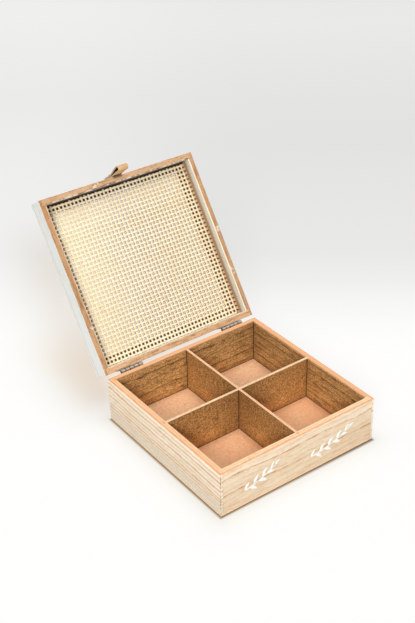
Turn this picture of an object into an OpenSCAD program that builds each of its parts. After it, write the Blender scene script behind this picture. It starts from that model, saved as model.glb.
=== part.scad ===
// A square hinged wooden box with four compartments and a cane-panelled lid, shown open.
// Millimetres, +Z up. The origin is the middle of the underside; +Y is the hinge side.

/* [Box] */
// Outer width of the box and its lid
box_w = 200; // [160:1:260]
// Outer depth of the box and its lid
box_d = 200; // [160:1:260]
// Height of the base, with its bottom board
base_h = 54; // [45:1:80]
// Thickness of the four base walls
wall_t = 7; // [5:0.5:10]
// Thickness of the bottom board
board_t = 3; // [2:0.5:5]
// How far the bottom board stands back from the walls' outer faces
board_inset = 0.3; // [0:0.1:1]
// Width of the chamfer on the wooden edges
edge_ease = 0.5; // [0.2:0.1:1]

/* [Corner joints] */
// Thickness of the side pieces' lip that covers the ends of the front and back pieces
lip_t = 3; // [1.5:0.25:4]

/* [Dividers] */
// Thickness of the two dividers
divider_t = 3; // [2:0.5:4]
// Depth of the grooves that hold the dividers' ends
groove_depth = 3.2; // [1.5:0.1:4]
// Gap between a divider's end and the bottom of its groove
divider_end_gap = 0.6; // [0.1:0.1:1]
// Clearance on each side of a divider in its groove and in the cross-lap
divider_fit = 0.05; // [0.03:0.01:0.2]

/* [Lid] */
// Height of the closed lid, with its top strips
lid_h = 22; // [18:1:35]
// Thickness of the four lid rails
rail_t = 7; // [5:0.5:10]
// Thickness of the top strips
top_t = 3.5; // [2.5:0.5:6]
// Width of the top strips
top_w = 16.5; // [13:0.5:30]
// Gap between the lid and the base when the lid is closed
seam_gap = 0.4; // [0.2:0.1:1]
// Angle at which the lid is held open
open_angle = 125; // [90:1:135]

/* [Cane panel] */
// Thickness of the cane webbing, two strands crossing
cane_t = 1.4; // [1:0.1:2]
// Width of one band, a pair of strands side by side
cane_band_w = 5.6; // [3:0.1:7]
// Open meshes between the bands from left to right
cane_gaps_x = 17; // [8:1:17]
// Open meshes between the bands from front to back
cane_gaps_y = 17; // [8:1:17]
// Gap between the webbing and the lid rails
cane_fit = 0.3; // [0.1:0.1:1]

/* [Hinges] */
// Length of each hinge
hinge_len = 28; // [24:1:40]
// Distance from the side of the box to the middle of a hinge
hinge_inset = 32; // [24:1:60]
// Height of a leaf, from the pin to its far edge
leaf_h = 12; // [10:0.5:15]
// Thickness of a leaf
leaf_t = 0.9; // [0.6:0.1:1.2]
// Outer radius of the knuckles
knuckle_r = 1.8; // [1.6:0.1:2.2]
// Gap between the knuckles and the back face of the box
knuckle_standoff = 0.4; // [0.3:0.1:1]
// Radius of the pin
pin_r = 0.7; // [0.5:0.05:0.9]
// Radial clearance of the pin in the lid leaf's knuckles
pin_clearance = 0.06; // [0.03:0.01:0.1]
// Gap between neighbouring knuckles
knuckle_gap = 0.25; // [0.1:0.05:0.4]
// Reach of the stop ears, from the pin
ear_reach = 6.4; // [5:0.1:7.5]
// Width of the stop ears
ear_w = 4.6; // [3:0.1:5]
// Play left between the stop ears of an open lid, in degrees
stop_play = 0.8; // [0.5:0.1:2]

/* [Screws] */
// Radius of a hinge screw's shank
screw_r = 0.9; // [0.7:0.05:1.1]
// Radius of a hinge screw's head
screw_head_r = 1.7; // [1.4:0.1:2]
// Length of a hinge screw in the wood
screw_len = 5; // [4:0.25:6]
// Distance from the pin to the screws
screw_drop = 7.6; // [6:0.1:9]
// Distance from a leaf's end to its screws
screw_inset = 5.5; // [4:0.5:8]

/* [Pull tab] */
// Width of the leather strap
strap_w = 12.5; // [8:0.5:20]
// Thickness of the leather
strap_t = 2.1; // [1.5:0.1:3]
// Height of the strap's ends above the lid's rim
strap_up = 20; // [12:0.5:21]
// Distance that the folded end hangs below the lid's rim
strap_down = 20; // [12:0.5:30]
// Height above the rim at which the two legs part
strap_part = 9; // [4:0.5:12]
// How far the inner leg swings out from the front of the lid
inner_swing = 2; // [1.2:0.1:4]
// How far the outer leg swings out beyond where it would lie flat
outer_swing = 4; // [3.4:0.1:6]
// Radius of the stud's head
stud_head_r = 2.8; // [2:0.1:4]
// Height of the stud's head
stud_head_h = 1.3; // [0.8:0.1:2]
// Radius of the stud's shank
stud_r = 0.8; // [0.6:0.05:1]
// Length of the stud in the wood
stud_len = 4.5; // [3:0.25:6]
// Height of the stud above the lid's rim
stud_up = 14.5; // [10:0.5:17]

/* [Hidden] */
$fn = 48;

// Small distance by which a cut runs past the face that it opens
over = 1;
// Clearance of a shank in its pilot hole, and of a pin in the leaf that carries it
hole_fit = 0.02;
// Number of knuckles on a hinge, the base leaf's outermost
knuckles = 5;
// Number of straight steps along one leg of the strap and round its fold
strap_steps = 18;

half_w = box_w / 2;
half_d = box_d / 2;
// The base's top edge, the closed lid's rim, and the pin half-way between them
rim_z = base_h;
lid_z = rim_z + seam_gap;
pin_out = knuckle_r + knuckle_standoff;
pin_y = half_d + pin_out;
pin_z = rim_z + seam_gap / 2;
hinge_x = half_w - hinge_inset;
// Inside of the base and of the lid
inner_x = half_w - wall_t;
inner_y = half_d - wall_t;
lid_inner_x = half_w - rail_t;
lid_inner_y = half_d - rail_t;
// Height of the lid rails, and the window in the lid's top
rail_h = lid_h - top_t;
window_x = half_w - top_w;
window_y = half_d - top_w;
// The dividers rise from the board to the rim and lap each other at half their height
divider_h = rim_z - board_t;
lap_h = divider_h / 2;
divider_slot = divider_t + 2 * divider_fit;
divider_reach = groove_depth - divider_end_gap;
// One knuckle's share of the hinge's length
knuckle_len = hinge_len / knuckles;
// Each leaf's stop face, as an angle from the leaf to the line where the leaves meet
stop_half = (180 - open_angle + stop_play) / 2;
ear_clear_r = knuckle_r + 0.35;
// Leaf face that the ears stand on, measured from the pin
leaf_face = leaf_t - pin_out;

// Everything on the lid is drawn closed and swung open about the pins
module swung_open() {
    translate([0, pin_y, pin_z])
        rotate([-open_angle, 0, 0])
            translate([0, -pin_y, -pin_z])
                children();
}

// Rectangle centred on the origin, with chamfered corners
module eased_rect(a, b, ease) {
    polygon([
        [-a + ease, -b], [a - ease, -b], [a, -b + ease], [a, b - ease],
        [a - ease, b], [-a + ease, b], [-a, b - ease], [-a, -b + ease]
    ]);
}

// Upright block on z = 0 with chamfered upright and top edges; its lower edges are
// chamfered too where ease_low is true
module eased_block(w, d, h, ease, ease_low) {
    low = ease_low ? 0 : -2 * ease;
    mid = (h + low) / 2;
    half_h = (h - low) / 2;
    intersection() {
        linear_extrude(h)
            eased_rect(w / 2, d / 2, ease);
        translate([0, d / 2 + over, mid])
            rotate([90, 0, 0])
                linear_extrude(d + 2 * over)
                    eased_rect(w / 2, half_h, ease);
        translate([-w / 2 - over, 0, mid])
            rotate([90, 0, 90])
                linear_extrude(w + 2 * over)
                    eased_rect(d / 2, half_h, ease);
    }
}

// Four-sided flare that chamfers the edge of a rectangular opening; it widens by ease
// in each direction from its mouth at z = 0 to z = ease, and goes on past it
module flare(a, b, ease) {
    grow = ease + over;
    intersection() {
        translate([0, b + grow, 0])
            rotate([90, 0, 0])
                linear_extrude(2 * (b + grow))
                    polygon([[-a, 0], [a, 0], [a + grow, grow], [-a - grow, grow]]);
        translate([-a - grow, 0, 0])
            rotate([90, 0, 90])
                linear_extrude(2 * (a + grow))
                    polygon([[-b, 0], [b, 0], [b + grow, grow], [-b - grow, grow]]);
    }
}

// Plan of a front or back piece, between the side pieces' lips
module end_plan(side, t) {
    y_mid = side * (half_d - t / 2);
    translate([0, y_mid])
        square([box_w - 2 * lip_t, t], center = true);
}

// Plan of a side piece: a full-length lip, thick between the end pieces
module side_plan(side, t) {
    lip_mid = half_w - lip_t / 2;
    translate([side * lip_mid, 0])
        square([lip_t, box_d], center = true);
    body_mid = half_w - (t + lip_t) / 2;
    translate([side * body_mid, 0])
        square([t - lip_t, box_d - 2 * t], center = true);
}

// Outline that all four base walls are cut from
module base_tray() {
    wall_h = rim_z - board_t;
    translate([0, 0, board_t])
        difference() {
            eased_block(box_w, box_d, wall_h, edge_ease, false);
            translate([0, 0, wall_h / 2])
                cube([2 * inner_x, 2 * inner_y, wall_h + 2 * over], center = true);
            translate([0, 0, wall_h - edge_ease])
                flare(inner_x, inner_y, edge_ease);
        }
}

// Grooves for the dividers' ends, open at the rim
module divider_grooves() {
    groove_h = divider_h + over;
    translate([0, 0, board_t + groove_h / 2]) {
        cube([2 * (inner_x + groove_depth), divider_slot, groove_h + over], center = true);
        cube([divider_slot, 2 * (inner_y + groove_depth), groove_h + over], center = true);
    }
}

// One hinge screw along y, its head's face at y = 0 and its point towards -y
module screw_shape(fit) {
    head_depth = screw_head_r - screw_r;
    rotate([90, 0, 0])
        rotate_extrude()
            polygon([
                [0, 0], [screw_head_r + fit, 0], [screw_r + fit, head_depth],
                [screw_r + fit, leaf_t + screw_len - screw_r], [0, leaf_t + screw_len + fit]
            ]);
}

// Places its children at the screws of one leaf; side is -1 for the base, 1 for the lid
module at_leaf_screws(hinge_side, side) {
    screw_x = hinge_len / 2 - screw_inset;
    for (end = [-1, 1])
        translate([hinge_side * hinge_x + end * screw_x, half_d + leaf_t, pin_z + side * screw_drop])
            children();
}

// All the screws, or their pilot holes, of one side of the box
module leaf_screws(side, fit) {
    for (hinge_side = [-1, 1])
        at_leaf_screws(hinge_side, side)
            screw_shape(fit);
}

// Cross recess in a screw's head
module cross_recess() {
    recess_w = screw_head_r * 1.2;
    slot_w = screw_head_r * 0.24;
    recess_depth = leaf_t * 0.5;
    for (turn = [0, 90])
        rotate([0, turn, 0])
            cube([recess_w, 2 * recess_depth, slot_w], center = true);
}

module screws(side) {
    for (hinge_side = [-1, 1])
        at_leaf_screws(hinge_side, side)
            difference() {
                screw_shape(0);
                cross_recess();
            }
}

module front_wall() {
    color("wheat")
        difference() {
            intersection() {
                base_tray();
                linear_extrude(rim_z + over)
                    end_plan(-1, wall_t);
            }
            divider_grooves();
        }
}

module back_wall() {
    color("wheat")
        difference() {
            intersection() {
                base_tray();
                linear_extrude(rim_z + over)
                    end_plan(1, wall_t);
            }
            divider_grooves();
            leaf_screws(-1, hole_fit);
        }
}

module side_wall(side) {
    color("wheat")
        difference() {
            intersection() {
                base_tray();
                linear_extrude(rim_z + over)
                    side_plan(side, wall_t);
            }
            divider_grooves();
        }
}

module bottom_board() {
    color("burlywood")
        linear_extrude(board_t)
            square([box_w - 2 * board_inset, box_d - 2 * board_inset], center = true);
}

// A divider along x, from groove to groove, with its upper edge chamfered
module divider_blank(inner) {
    length = 2 * (inner + divider_reach);
    ease = edge_ease / 2;
    half_t = divider_t / 2;
    translate([-length / 2, 0, board_t])
        rotate([90, 0, 90])
            linear_extrude(length)
                polygon([
                    [-half_t, 0], [half_t, 0], [half_t, divider_h - ease], [half_t - ease, divider_h],
                    [-half_t + ease, divider_h], [-half_t, divider_h - ease]
                ]);
}

module lengthwise_divider() {
    slot_h = lap_h + divider_fit;
    color("sienna")
        difference() {
            divider_blank(inner_x);
            translate([0, 0, board_t + slot_h / 2 - over / 2])
                cube([divider_slot, 2 * divider_t, slot_h + over], center = true);
        }
}

module crosswise_divider() {
    slot_h = lap_h + divider_fit;
    color("sienna")
        difference() {
            rotate([0, 0, 90])
                divider_blank(inner_y);
            translate([0, 0, rim_z - slot_h / 2 + over / 2])
                cube([2 * divider_t, divider_slot, slot_h + over], center = true);
        }
}

// Side outline of the neck that joins a leaf to its knuckles, from the box's back face
module neck_outline() {
    foot = knuckle_r + leaf_t;
    polygon([[0, -foot], [leaf_t, -foot], [pin_out, -knuckle_r], [knuckle_standoff, 0]]);
}

// Side outline of a stop ear, measured from the pin, with the leaf below it
module ear_outline() {
    root = leaf_face - leaf_t / 2;
    difference() {
        polygon([
            [root, -knuckle_r], [0, 0], [ear_reach * sin(stop_half), -ear_reach * cos(stop_half)],
            [leaf_face, -ear_reach - 2 * leaf_t], [root, -ear_reach - 2 * leaf_t]
        ]);
        circle(r = ear_clear_r);
    }
}

// Extrudes a side outline along x about the middle of a hinge
module along_hinge(x_mid, width) {
    translate([x_mid - width / 2, 0, 0])
        rotate([90, 0, 90])
            linear_extrude(width)
                children();
}

// One leaf, hanging below a pin at the origin; first is its first knuckle, and fit the
// clearance of its bore round the pin
module leaf(first, fit) {
    plate_top = ear_clear_r;
    corner = leaf_h / 6;
    width = knuckle_len - knuckle_gap;
    difference() {
        union() {
            // Plate with rounded far corners
            translate([0, leaf_face, 0])
                rotate([90, 0, 0])
                    linear_extrude(leaf_t) {
                        translate([-hinge_len / 2, -leaf_h + corner])
                            square([hinge_len, leaf_h - corner - plate_top]);
                        translate([-hinge_len / 2 + corner, -leaf_h])
                            square([hinge_len - 2 * corner, leaf_h - plate_top]);
                        for (end = [-1, 1])
                            translate([end * (hinge_len / 2 - corner), -leaf_h + corner])
                                circle(r = corner);
                    }
            // Knuckles and their necks
            for (k = [first:2:knuckles - 1]) {
                x_mid = (k + 0.5) * knuckle_len - hinge_len / 2;
                along_hinge(x_mid, width)
                    circle(r = knuckle_r);
                along_hinge(x_mid, width)
                    translate([-pin_out, 0])
                        neck_outline();
            }
            along_hinge(0, ear_w)
                ear_outline();
        }
        along_hinge(0, hinge_len + 2 * over)
            circle(r = pin_r + fit);
    }
}

// The leaf on the back wall, which holds the pin
module base_leaf(hinge_side) {
    color("gray")
        difference() {
            translate([hinge_side * hinge_x, pin_y, pin_z])
                leaf(0, hole_fit);
            leaf_screws(-1, hole_fit);
        }
}

// The leaf on the lid, which turns on the pin
module lid_leaf(hinge_side) {
    color("gray")
        swung_open()
            difference() {
                translate([hinge_side * hinge_x, pin_y, pin_z])
                    mirror([0, 0, 1])
                        leaf(1, pin_clearance);
                leaf_screws(1, hole_fit);
            }
}

module hinge_pin(hinge_side) {
    crown = pin_r / 3;
    half_len = hinge_len / 2;
    color("silver")
        translate([hinge_side * hinge_x, pin_y, pin_z])
            rotate([0, 90, 0])
                rotate_extrude()
                    polygon([
                        [0, -half_len], [pin_r - crown, -half_len], [pin_r, -half_len + crown],
                        [pin_r, half_len - crown], [pin_r - crown, half_len], [0, half_len]
                    ]);
}

module base_hinge_screws() {
    color("silver")
        screws(-1);
}

module lid_hinge_screws() {
    color("silver")
        swung_open()
            screws(1);
}

// Outline that the lid's rails and top strips are cut from, standing on its rim
module lid_shell() {
    difference() {
        eased_block(box_w, box_d, lid_h, edge_ease, true);
        translate([0, 0, rail_h / 2 - over])
            cube([2 * lid_inner_x, 2 * lid_inner_y, rail_h + 2 * over], center = true);
        translate([0, 0, edge_ease])
            mirror([0, 0, 1])
                flare(lid_inner_x, lid_inner_y, edge_ease);
        translate([0, 0, lid_h])
            cube([2 * window_x, 2 * window_y, 2 * top_t + over], center = true);
        translate([0, 0, lid_h - edge_ease])
            flare(window_x, window_y, edge_ease);
    }
}

module lid_rail_shape() {
    intersection() {
        lid_shell();
        linear_extrude(rail_h)
            children();
    }
}

module lid_front_rail() {
    color("burlywood")
        swung_open()
            translate([0, 0, lid_z])
                difference() {
                    lid_rail_shape()
                        end_plan(-1, rail_t);
                    stud_at()
                        stud_shank(hole_fit);
                }
}

module lid_back_rail() {
    color("burlywood")
        swung_open()
            difference() {
                translate([0, 0, lid_z])
                    lid_rail_shape()
                        end_plan(1, rail_t);
                leaf_screws(1, hole_fit);
            }
}

module lid_side_rail(side) {
    color("burlywood")
        swung_open()
            translate([0, 0, lid_z])
                lid_rail_shape()
                    side_plan(side, rail_t);
}

// Plan of one mitred top strip, as the front one lies, for a lid of half sizes a by b
module mitred_plan(a, b) {
    polygon([[-a, -b], [a, -b], [a - top_w, -b + top_w], [-a + top_w, -b + top_w]]);
}

module top_strip_shape() {
    color("burlywood")
        swung_open()
            translate([0, 0, lid_z])
                intersection() {
                    lid_shell();
                    translate([0, 0, rail_h])
                        linear_extrude(top_t)
                            children();
                }
}

module lid_end_top_strip(side) {
    top_strip_shape()
        rotate([0, 0, side > 0 ? 180 : 0])
            mitred_plan(half_w, half_d);
}

module lid_side_top_strip(side) {
    top_strip_shape()
        rotate([0, 0, side > 0 ? 90 : -90])
            mitred_plan(half_d, half_w);
}

// Bands of one direction, lying along x, for a panel of half sizes a by b
module cane_bands(a, b, gaps, thickness) {
    pitch = (2 * b - cane_band_w) / gaps;
    for (i = [0:gaps])
        translate([-a, -b + i * pitch, 0])
            cube([2 * a, cane_band_w, thickness]);
}

// Cane webbing under the top strips: a layer of bands each way, one pressed into the other
module cane_panel() {
    a = lid_inner_x - cane_fit;
    b = lid_inner_y - cane_fit;
    layer_t = cane_t * 0.55;
    color("cornsilk")
        swung_open()
            translate([0, 0, lid_z + rail_h - cane_t]) {
                cane_bands(a, b, cane_gaps_y, layer_t);
                translate([0, 0, cane_t - layer_t])
                    rotate([0, 0, 90])
                        cane_bands(b, a, cane_gaps_x, layer_t);
            }
}

// Smooth rise from 0 to 1
function eased(u) = (1 - cos(180 * u)) / 2;

// Middle of the fold: its height, its distance out, and its radius inside and outside
fold_out = (inner_swing + 2 * strap_t + outer_swing) / 2;
fold_inside = fold_out - inner_swing - strap_t;
fold_outside = fold_inside + strap_t;
fold_z = -strap_down + fold_outside;
part_len = strap_part - fold_z;

// Points along one face of a leg, from where the legs part to the fold
function leg_face(start, swing) = [
    for (i = [0:strap_steps])
        [start + swing * eased(i / strap_steps), strap_part - part_len * i / strap_steps]
];

// Points round the fold from the inner leg to the outer one, ends left out
function fold_arc(r) = [
    for (i = [1:strap_steps - 1])
        [fold_out - r * cos(180 * i / strap_steps), fold_z - r * sin(180 * i / strap_steps)]
];

function reversed(list) = [for (i = [len(list) - 1:-1:0]) list[i]];

// Side outline of the folded strap: distance out from the lid's front, height over its rim
module strap_outline() {
    skin = concat(
        [[0, strap_up]], leg_face(0, inner_swing), fold_arc(fold_outside),
        reversed(leg_face(2 * strap_t, outer_swing)), [[2 * strap_t, strap_up]]
    );
    slit = concat(
        leg_face(strap_t, inner_swing), fold_arc(fold_inside),
        reversed([for (i = [1:strap_steps]) leg_face(strap_t, outer_swing)[i]])
    );
    difference() {
        polygon(skin);
        polygon(slit);
    }
}

// Places its children at the stud, in the lid's frame, with y out of the strap's face
module stud_at() {
    translate([0, -half_d - 2 * strap_t, stud_up])
        children();
}

module stud_shank(fit) {
    length = 2 * strap_t + stud_len;
    rotate([-90, 0, 0])
        rotate_extrude()
            polygon([
                [0, 0], [stud_r + fit, 0], [stud_r + fit, length - stud_r], [0, length + fit]
            ]);
}

// A leather strap folded double, which hangs from the lid's front rail
module pull_tab() {
    color("tan")
        swung_open()
            translate([0, 0, lid_z])
                difference() {
                    translate([strap_w / 2, -half_d, 0])
                        rotate([90, 0, -90])
                            linear_extrude(strap_w)
                                strap_outline();
                    stud_at()
                        stud_shank(hole_fit);
                }
}

// The stud with its domed head, which holds both ends of the strap
module tab_stud() {
    dome_steps = 10;
    color("gold")
        swung_open()
            translate([0, 0, lid_z])
                stud_at() {
                    stud_shank(0);
                    rotate([90, 0, 0])
                        rotate_extrude()
                            polygon(concat([[0, 0]], [
                                for (i = [0:dome_steps])
                                    [
                                        stud_head_r * cos(90 * i / dome_steps),
                                        stud_head_h * sin(90 * i / dome_steps)
                                    ]
                            ]));
                }
}

front_wall();
back_wall();
side_wall(-1);  // left_wall
side_wall(1);  // right_wall
bottom_board();
lengthwise_divider();
crosswise_divider();
base_leaf(-1);  // left_hinge_base_leaf
base_leaf(1);  // right_hinge_base_leaf
hinge_pin(-1);  // left_hinge_pin
hinge_pin(1);  // right_hinge_pin
base_hinge_screws();
lid_front_rail();
lid_back_rail();
lid_side_rail(-1);  // lid_left_rail
lid_side_rail(1);  // lid_right_rail
lid_end_top_strip(-1);  // lid_front_top_strip
lid_end_top_strip(1);  // lid_back_top_strip
lid_side_top_strip(-1);  // lid_left_top_strip
lid_side_top_strip(1);  // lid_right_top_strip
cane_panel();
lid_leaf(-1);  // left_hinge_lid_leaf
lid_leaf(1);  // right_hinge_lid_leaf
lid_hinge_screws();
pull_tab();
tab_stud();
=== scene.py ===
import math

import bmesh
import bpy
from mathutils import Matrix, Vector


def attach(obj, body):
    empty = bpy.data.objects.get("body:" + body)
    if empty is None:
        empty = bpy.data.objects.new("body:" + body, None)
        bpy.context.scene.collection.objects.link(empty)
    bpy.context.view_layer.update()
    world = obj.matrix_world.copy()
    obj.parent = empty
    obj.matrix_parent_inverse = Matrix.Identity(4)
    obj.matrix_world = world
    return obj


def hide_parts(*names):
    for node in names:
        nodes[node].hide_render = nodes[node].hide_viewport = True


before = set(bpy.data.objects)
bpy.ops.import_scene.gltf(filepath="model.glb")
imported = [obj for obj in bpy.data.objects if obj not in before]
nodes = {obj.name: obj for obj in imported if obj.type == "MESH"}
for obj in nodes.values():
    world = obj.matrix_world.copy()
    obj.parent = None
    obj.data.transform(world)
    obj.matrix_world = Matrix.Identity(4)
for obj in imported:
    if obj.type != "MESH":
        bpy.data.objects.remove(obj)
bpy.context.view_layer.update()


# Camera. It stands in front of the box and to its left, and looks down into the
# compartments and at the inside of the open lid.
view_turn = math.radians(-35.78)
view_rise = math.radians(32.08)
view_roll = math.radians(-1.28)
view_back = Vector((
    math.sin(view_turn) * math.cos(view_rise),
    -math.cos(view_turn) * math.cos(view_rise),
    math.sin(view_rise),
))
level_right = Vector((0, 0, 1)).cross(view_back).normalized()
level_up = view_back.cross(level_right)
view_right = level_right * math.cos(view_roll) + level_up * math.sin(view_roll)
view_up = level_up * math.cos(view_roll) - level_right * math.sin(view_roll)
camera_place = view_right * -0.03424 + view_up * 0.12686 + view_back * 1.26116
camera_lens = bpy.data.cameras.new("camera")
camera_lens.lens = 67.64
camera_lens.sensor_width = 36
camera = bpy.data.objects.new("camera", camera_lens)
camera_axes = Matrix((view_right, view_up, view_back)).transposed().to_4x4()
camera.matrix_world = Matrix.Translation(camera_place) @ camera_axes
bpy.context.scene.collection.objects.link(camera)
bpy.context.scene.camera = camera
bpy.context.scene.view_settings.view_transform = "Standard"


# Studio sheet. A wide white floor, a little grey away from the lamps, with a painted contact
# shadow in a thin dark line where the box meets it, painted shade behind the open lid's left
# side and painted shade under the lid behind the box. It is cut out under the box, and is
# clear seen from below.
def linear(red, green, blue):
    """A colour as it looks on screen, 0 to 255, in the values that a shader takes."""
    parts = []
    for value in (red, green, blue):
        share = value / 255
        parts.append(share / 12.92 if share <= 0.04045 else ((share + 0.055) / 1.055) ** 2.4)
    return (*parts, 1.0)


def put(tree, kind, inputs=None, **settings):
    """Adds a node; inputs gives a value, or the socket that feeds it, to each of its sockets."""
    made = tree.nodes.new(kind)
    for key, value in settings.items():
        setattr(made, key, value)
    for key, value in (inputs or {}).items():
        if isinstance(value, bpy.types.NodeSocket):
            tree.links.new(value, made.inputs[key])
        else:
            made.inputs[key].default_value = value
    return made


def calc(tree, operation, *values):
    """The result of one sum on numbers."""
    return put(tree, "ShaderNodeMath", dict(enumerate(values)), operation=operation).outputs[0]


def span(tree, value, low, high, first=0.0, last=1.0):
    """A smooth rise from first to last while value goes from low to high."""
    settings = {0: value, 1: low, 2: high, 3: first, 4: last}
    made = put(tree, "ShaderNodeMapRange", settings, interpolation_type="SMOOTHSTEP")
    return made.outputs[0]


def tint(tree, share, first, second, how="MIX"):
    """Two colours mixed; share is how much there is of the second."""
    settings = {0: share, 6: first, 7: second}
    made = put(tree, "ShaderNodeMix", settings, data_type="RGBA", blend_type=how)
    return made.outputs[2]


def ramp(tree, value, stops):
    """A grey that follows value through stops, each a place from 0 to 1 and a grey."""
    made = put(tree, "ShaderNodeValToRGB", {0: value})
    elements = made.color_ramp.elements
    while len(elements) > 1:
        elements.remove(elements[-1])
    for number, (at, grey) in enumerate(stops):
        element = elements[0] if number == 0 else elements.new(at)
        element.position = at
        element.color = (grey, grey, grey, 1)
    return made.outputs[0]


def new_material(name):
    """An empty material, as its node tree and its output's surface socket."""
    material = bpy.data.materials.new(name)
    material.use_nodes = True
    material.node_tree.nodes.clear()
    end = put(material.node_tree, "ShaderNodeOutputMaterial")
    return material, material.node_tree, end.inputs["Surface"]


sheet_material, tree, surface = new_material("studio_sheet")
sheet_place = put(tree, "ShaderNodeTexCoord").outputs["Object"]
forward = (0.5846, 0.8113, 0)
sideways = (0.8113, -0.5846, 0)
depth = put(tree, "ShaderNodeVectorMath", {0: sheet_place, 1: forward}, operation="DOT_PRODUCT")
aside = put(tree, "ShaderNodeVectorMath", {0: sheet_place, 1: sideways}, operation="DOT_PRODUCT")
depth = calc(tree, "DIVIDE", depth.outputs["Value"], 1.5)
left_grey = ramp(tree, depth, [
    (0.0, 1.0), (0.09, 1.0), (0.17, 0.98), (0.27, 0.93), (0.42, 0.94), (0.64, 0.92), (0.94, 1.0),
])
right_grey = ramp(tree, depth, [
    (0.0, 1.0), (0.08, 1.0), (0.13, 0.985), (0.175, 0.942), (0.205, 0.9), (0.26, 0.862), (0.42, 0.85),
    (0.5, 0.838), (0.62, 0.86), (0.9, 0.95),
])
to_right = span(tree, aside.outputs["Value"], -0.36, 0.08)
sheet_colour = tint(tree, to_right, left_grey, right_grey)
rays = put(tree, "ShaderNodeLightPath").outputs
seen = calc(tree, "ADD", rays["Is Camera Ray"], rays["Is Glossy Ray"])
seen = calc(tree, "MINIMUM", calc(tree, "ADD", seen, rays["Is Transmission Ray"]), 1.0)
sheet_colour = tint(tree, 1.0, sheet_colour, (1.0, 0.998, 0.982, 1), "MULTIPLY")
floor = put(tree, "ShaderNodeSeparateXYZ", {0: sheet_place}).outputs
beyond = []
for socket in (floor[0], floor[1]):
    out = calc(tree, "MAXIMUM", calc(tree, "SUBTRACT", calc(tree, "ABSOLUTE", socket), 0.1), 0.0)
    beyond.append(calc(tree, "POWER", out, 2.0))
from_box = calc(tree, "DIVIDE", calc(tree, "SQRT", calc(tree, "ADD", *beyond)), 0.06)
# Painted contact shadow: the sheet darkens and browns close round the box's foot.
painted_contact_shadow = ramp(tree, from_box, [
    (0.0, 0.44), (0.013, 0.5), (0.028, 0.83), (0.06, 0.9), (0.11, 0.928), (0.2, 0.957), (0.33, 0.974),
    (0.5, 0.985), (1.0, 1.0),
])
shaded = tint(tree, 1.0, sheet_colour, painted_contact_shadow, "MULTIPLY")
shaded = tint(tree, span(tree, from_box, 0.0, 0.5, 1.0, 0.0), shaded, (1.0, 0.985, 0.95, 1), "MULTIPLY")
shaded = tint(tree, span(tree, from_box, 0.008, 0.04, 1.0, 0.0), shaded, (1.0, 0.8, 0.6, 1), "MULTIPLY")
# Painted shadow along the box's front foot, deeper towards the right.
painted_front_shadow = calc(tree, "MULTIPLY", span(tree, floor[0], -0.06, 0.09), span(tree, floor[1], -0.1, -0.08, 1.0, 0.0))
painted_front_shadow = calc(tree, "MULTIPLY", painted_front_shadow, span(tree, from_box, 0.02, 0.065, 1.0, 0.0))
shaded = tint(tree, painted_front_shadow, shaded, (0.62, 0.63, 0.66, 1), "MULTIPLY")
shade_along = put(tree, "ShaderNodeVectorMath", {0: sheet_place, 1: (0.344, 0.939, 0)}, operation="DOT_PRODUCT")
shade_aside = put(tree, "ShaderNodeVectorMath", {0: sheet_place, 1: (0.939, -0.344, 0)}, operation="DOT_PRODUCT")
shade_along, shade_aside = shade_along.outputs["Value"], shade_aside.outputs["Value"]
shade = calc(tree, "POWER", span(tree, shade_aside, -0.26, -0.129), 3.0)
shade = calc(tree, "MULTIPLY", shade, span(tree, shade_aside, -0.129, -0.1, 1.0, 0.0))
shade = calc(tree, "MULTIPLY", shade, span(tree, shade_along, 0.03, 0.12))
shade = calc(tree, "MULTIPLY", shade, span(tree, shade_along, 0.38, 0.6, 1.0, 0.0))
shaded = tint(tree, shade, shaded, (0.885, 0.85, 0.805, 1), "MULTIPLY")
# Painted shade on the sheet under the open lid, behind the box.
behind = calc(tree, "MULTIPLY", span(tree, floor[1], 0.11, 0.15), span(tree, floor[1], 0.2, 0.32, 1.0, 0.0))
behind = calc(tree, "MULTIPLY", behind, span(tree, calc(tree, "ABSOLUTE", floor[0]), 0.08, 0.13, 1.0, 0.0))
shaded = tint(tree, behind, shaded, (0.97, 0.91, 0.85, 1), "MULTIPLY")
sheet_colour = tint(tree, seen, sheet_colour, shaded)
dim = tint(tree, seen, (0.93, 0.93, 0.93, 1), (0.22, 0.22, 0.22, 1))
dim = tint(tree, 1.0, sheet_colour, dim, "MULTIPLY")
matt = put(tree, "ShaderNodeBsdfDiffuse", {"Color": dim})
glow = ramp(tree, depth, [
    (0.0, 0.756), (0.045, 0.759), (0.11, 0.768), (0.14, 0.76), (0.175, 0.75), (0.26, 0.724), (0.42, 0.71),
    (0.63, 0.702), (0.93, 0.675),
])
lift = put(tree, "ShaderNodeEmission", {
    "Color": sheet_colour, "Strength": calc(tree, "MULTIPLY", seen, glow),
})
lit = put(tree, "ShaderNodeAddShader", {0: matt.outputs[0], 1: lift.outputs[0]})
room_white = (0.82, 0.82, 0.81, 1)
far_white = put(tree, "ShaderNodeEmission", {"Color": room_white, "Strength": 1.0})
distance = put(tree, "ShaderNodeVectorMath", {0: sheet_place}, operation="LENGTH").outputs["Value"]
far = calc(tree, "MULTIPLY", span(tree, distance, 1.3, 3.8), seen)
lit = put(tree, "ShaderNodeMixShader", {0: far, 1: lit.outputs[0], 2: far_white.outputs[0]})
below = put(tree, "ShaderNodeNewGeometry").outputs["Backfacing"]
clear = put(tree, "ShaderNodeBsdfTransparent")
both = put(tree, "ShaderNodeMixShader", {0: below, 1: lit.outputs[0], 2: clear.outputs[0]})
tree.links.new(both.outputs[0], surface)

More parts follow.
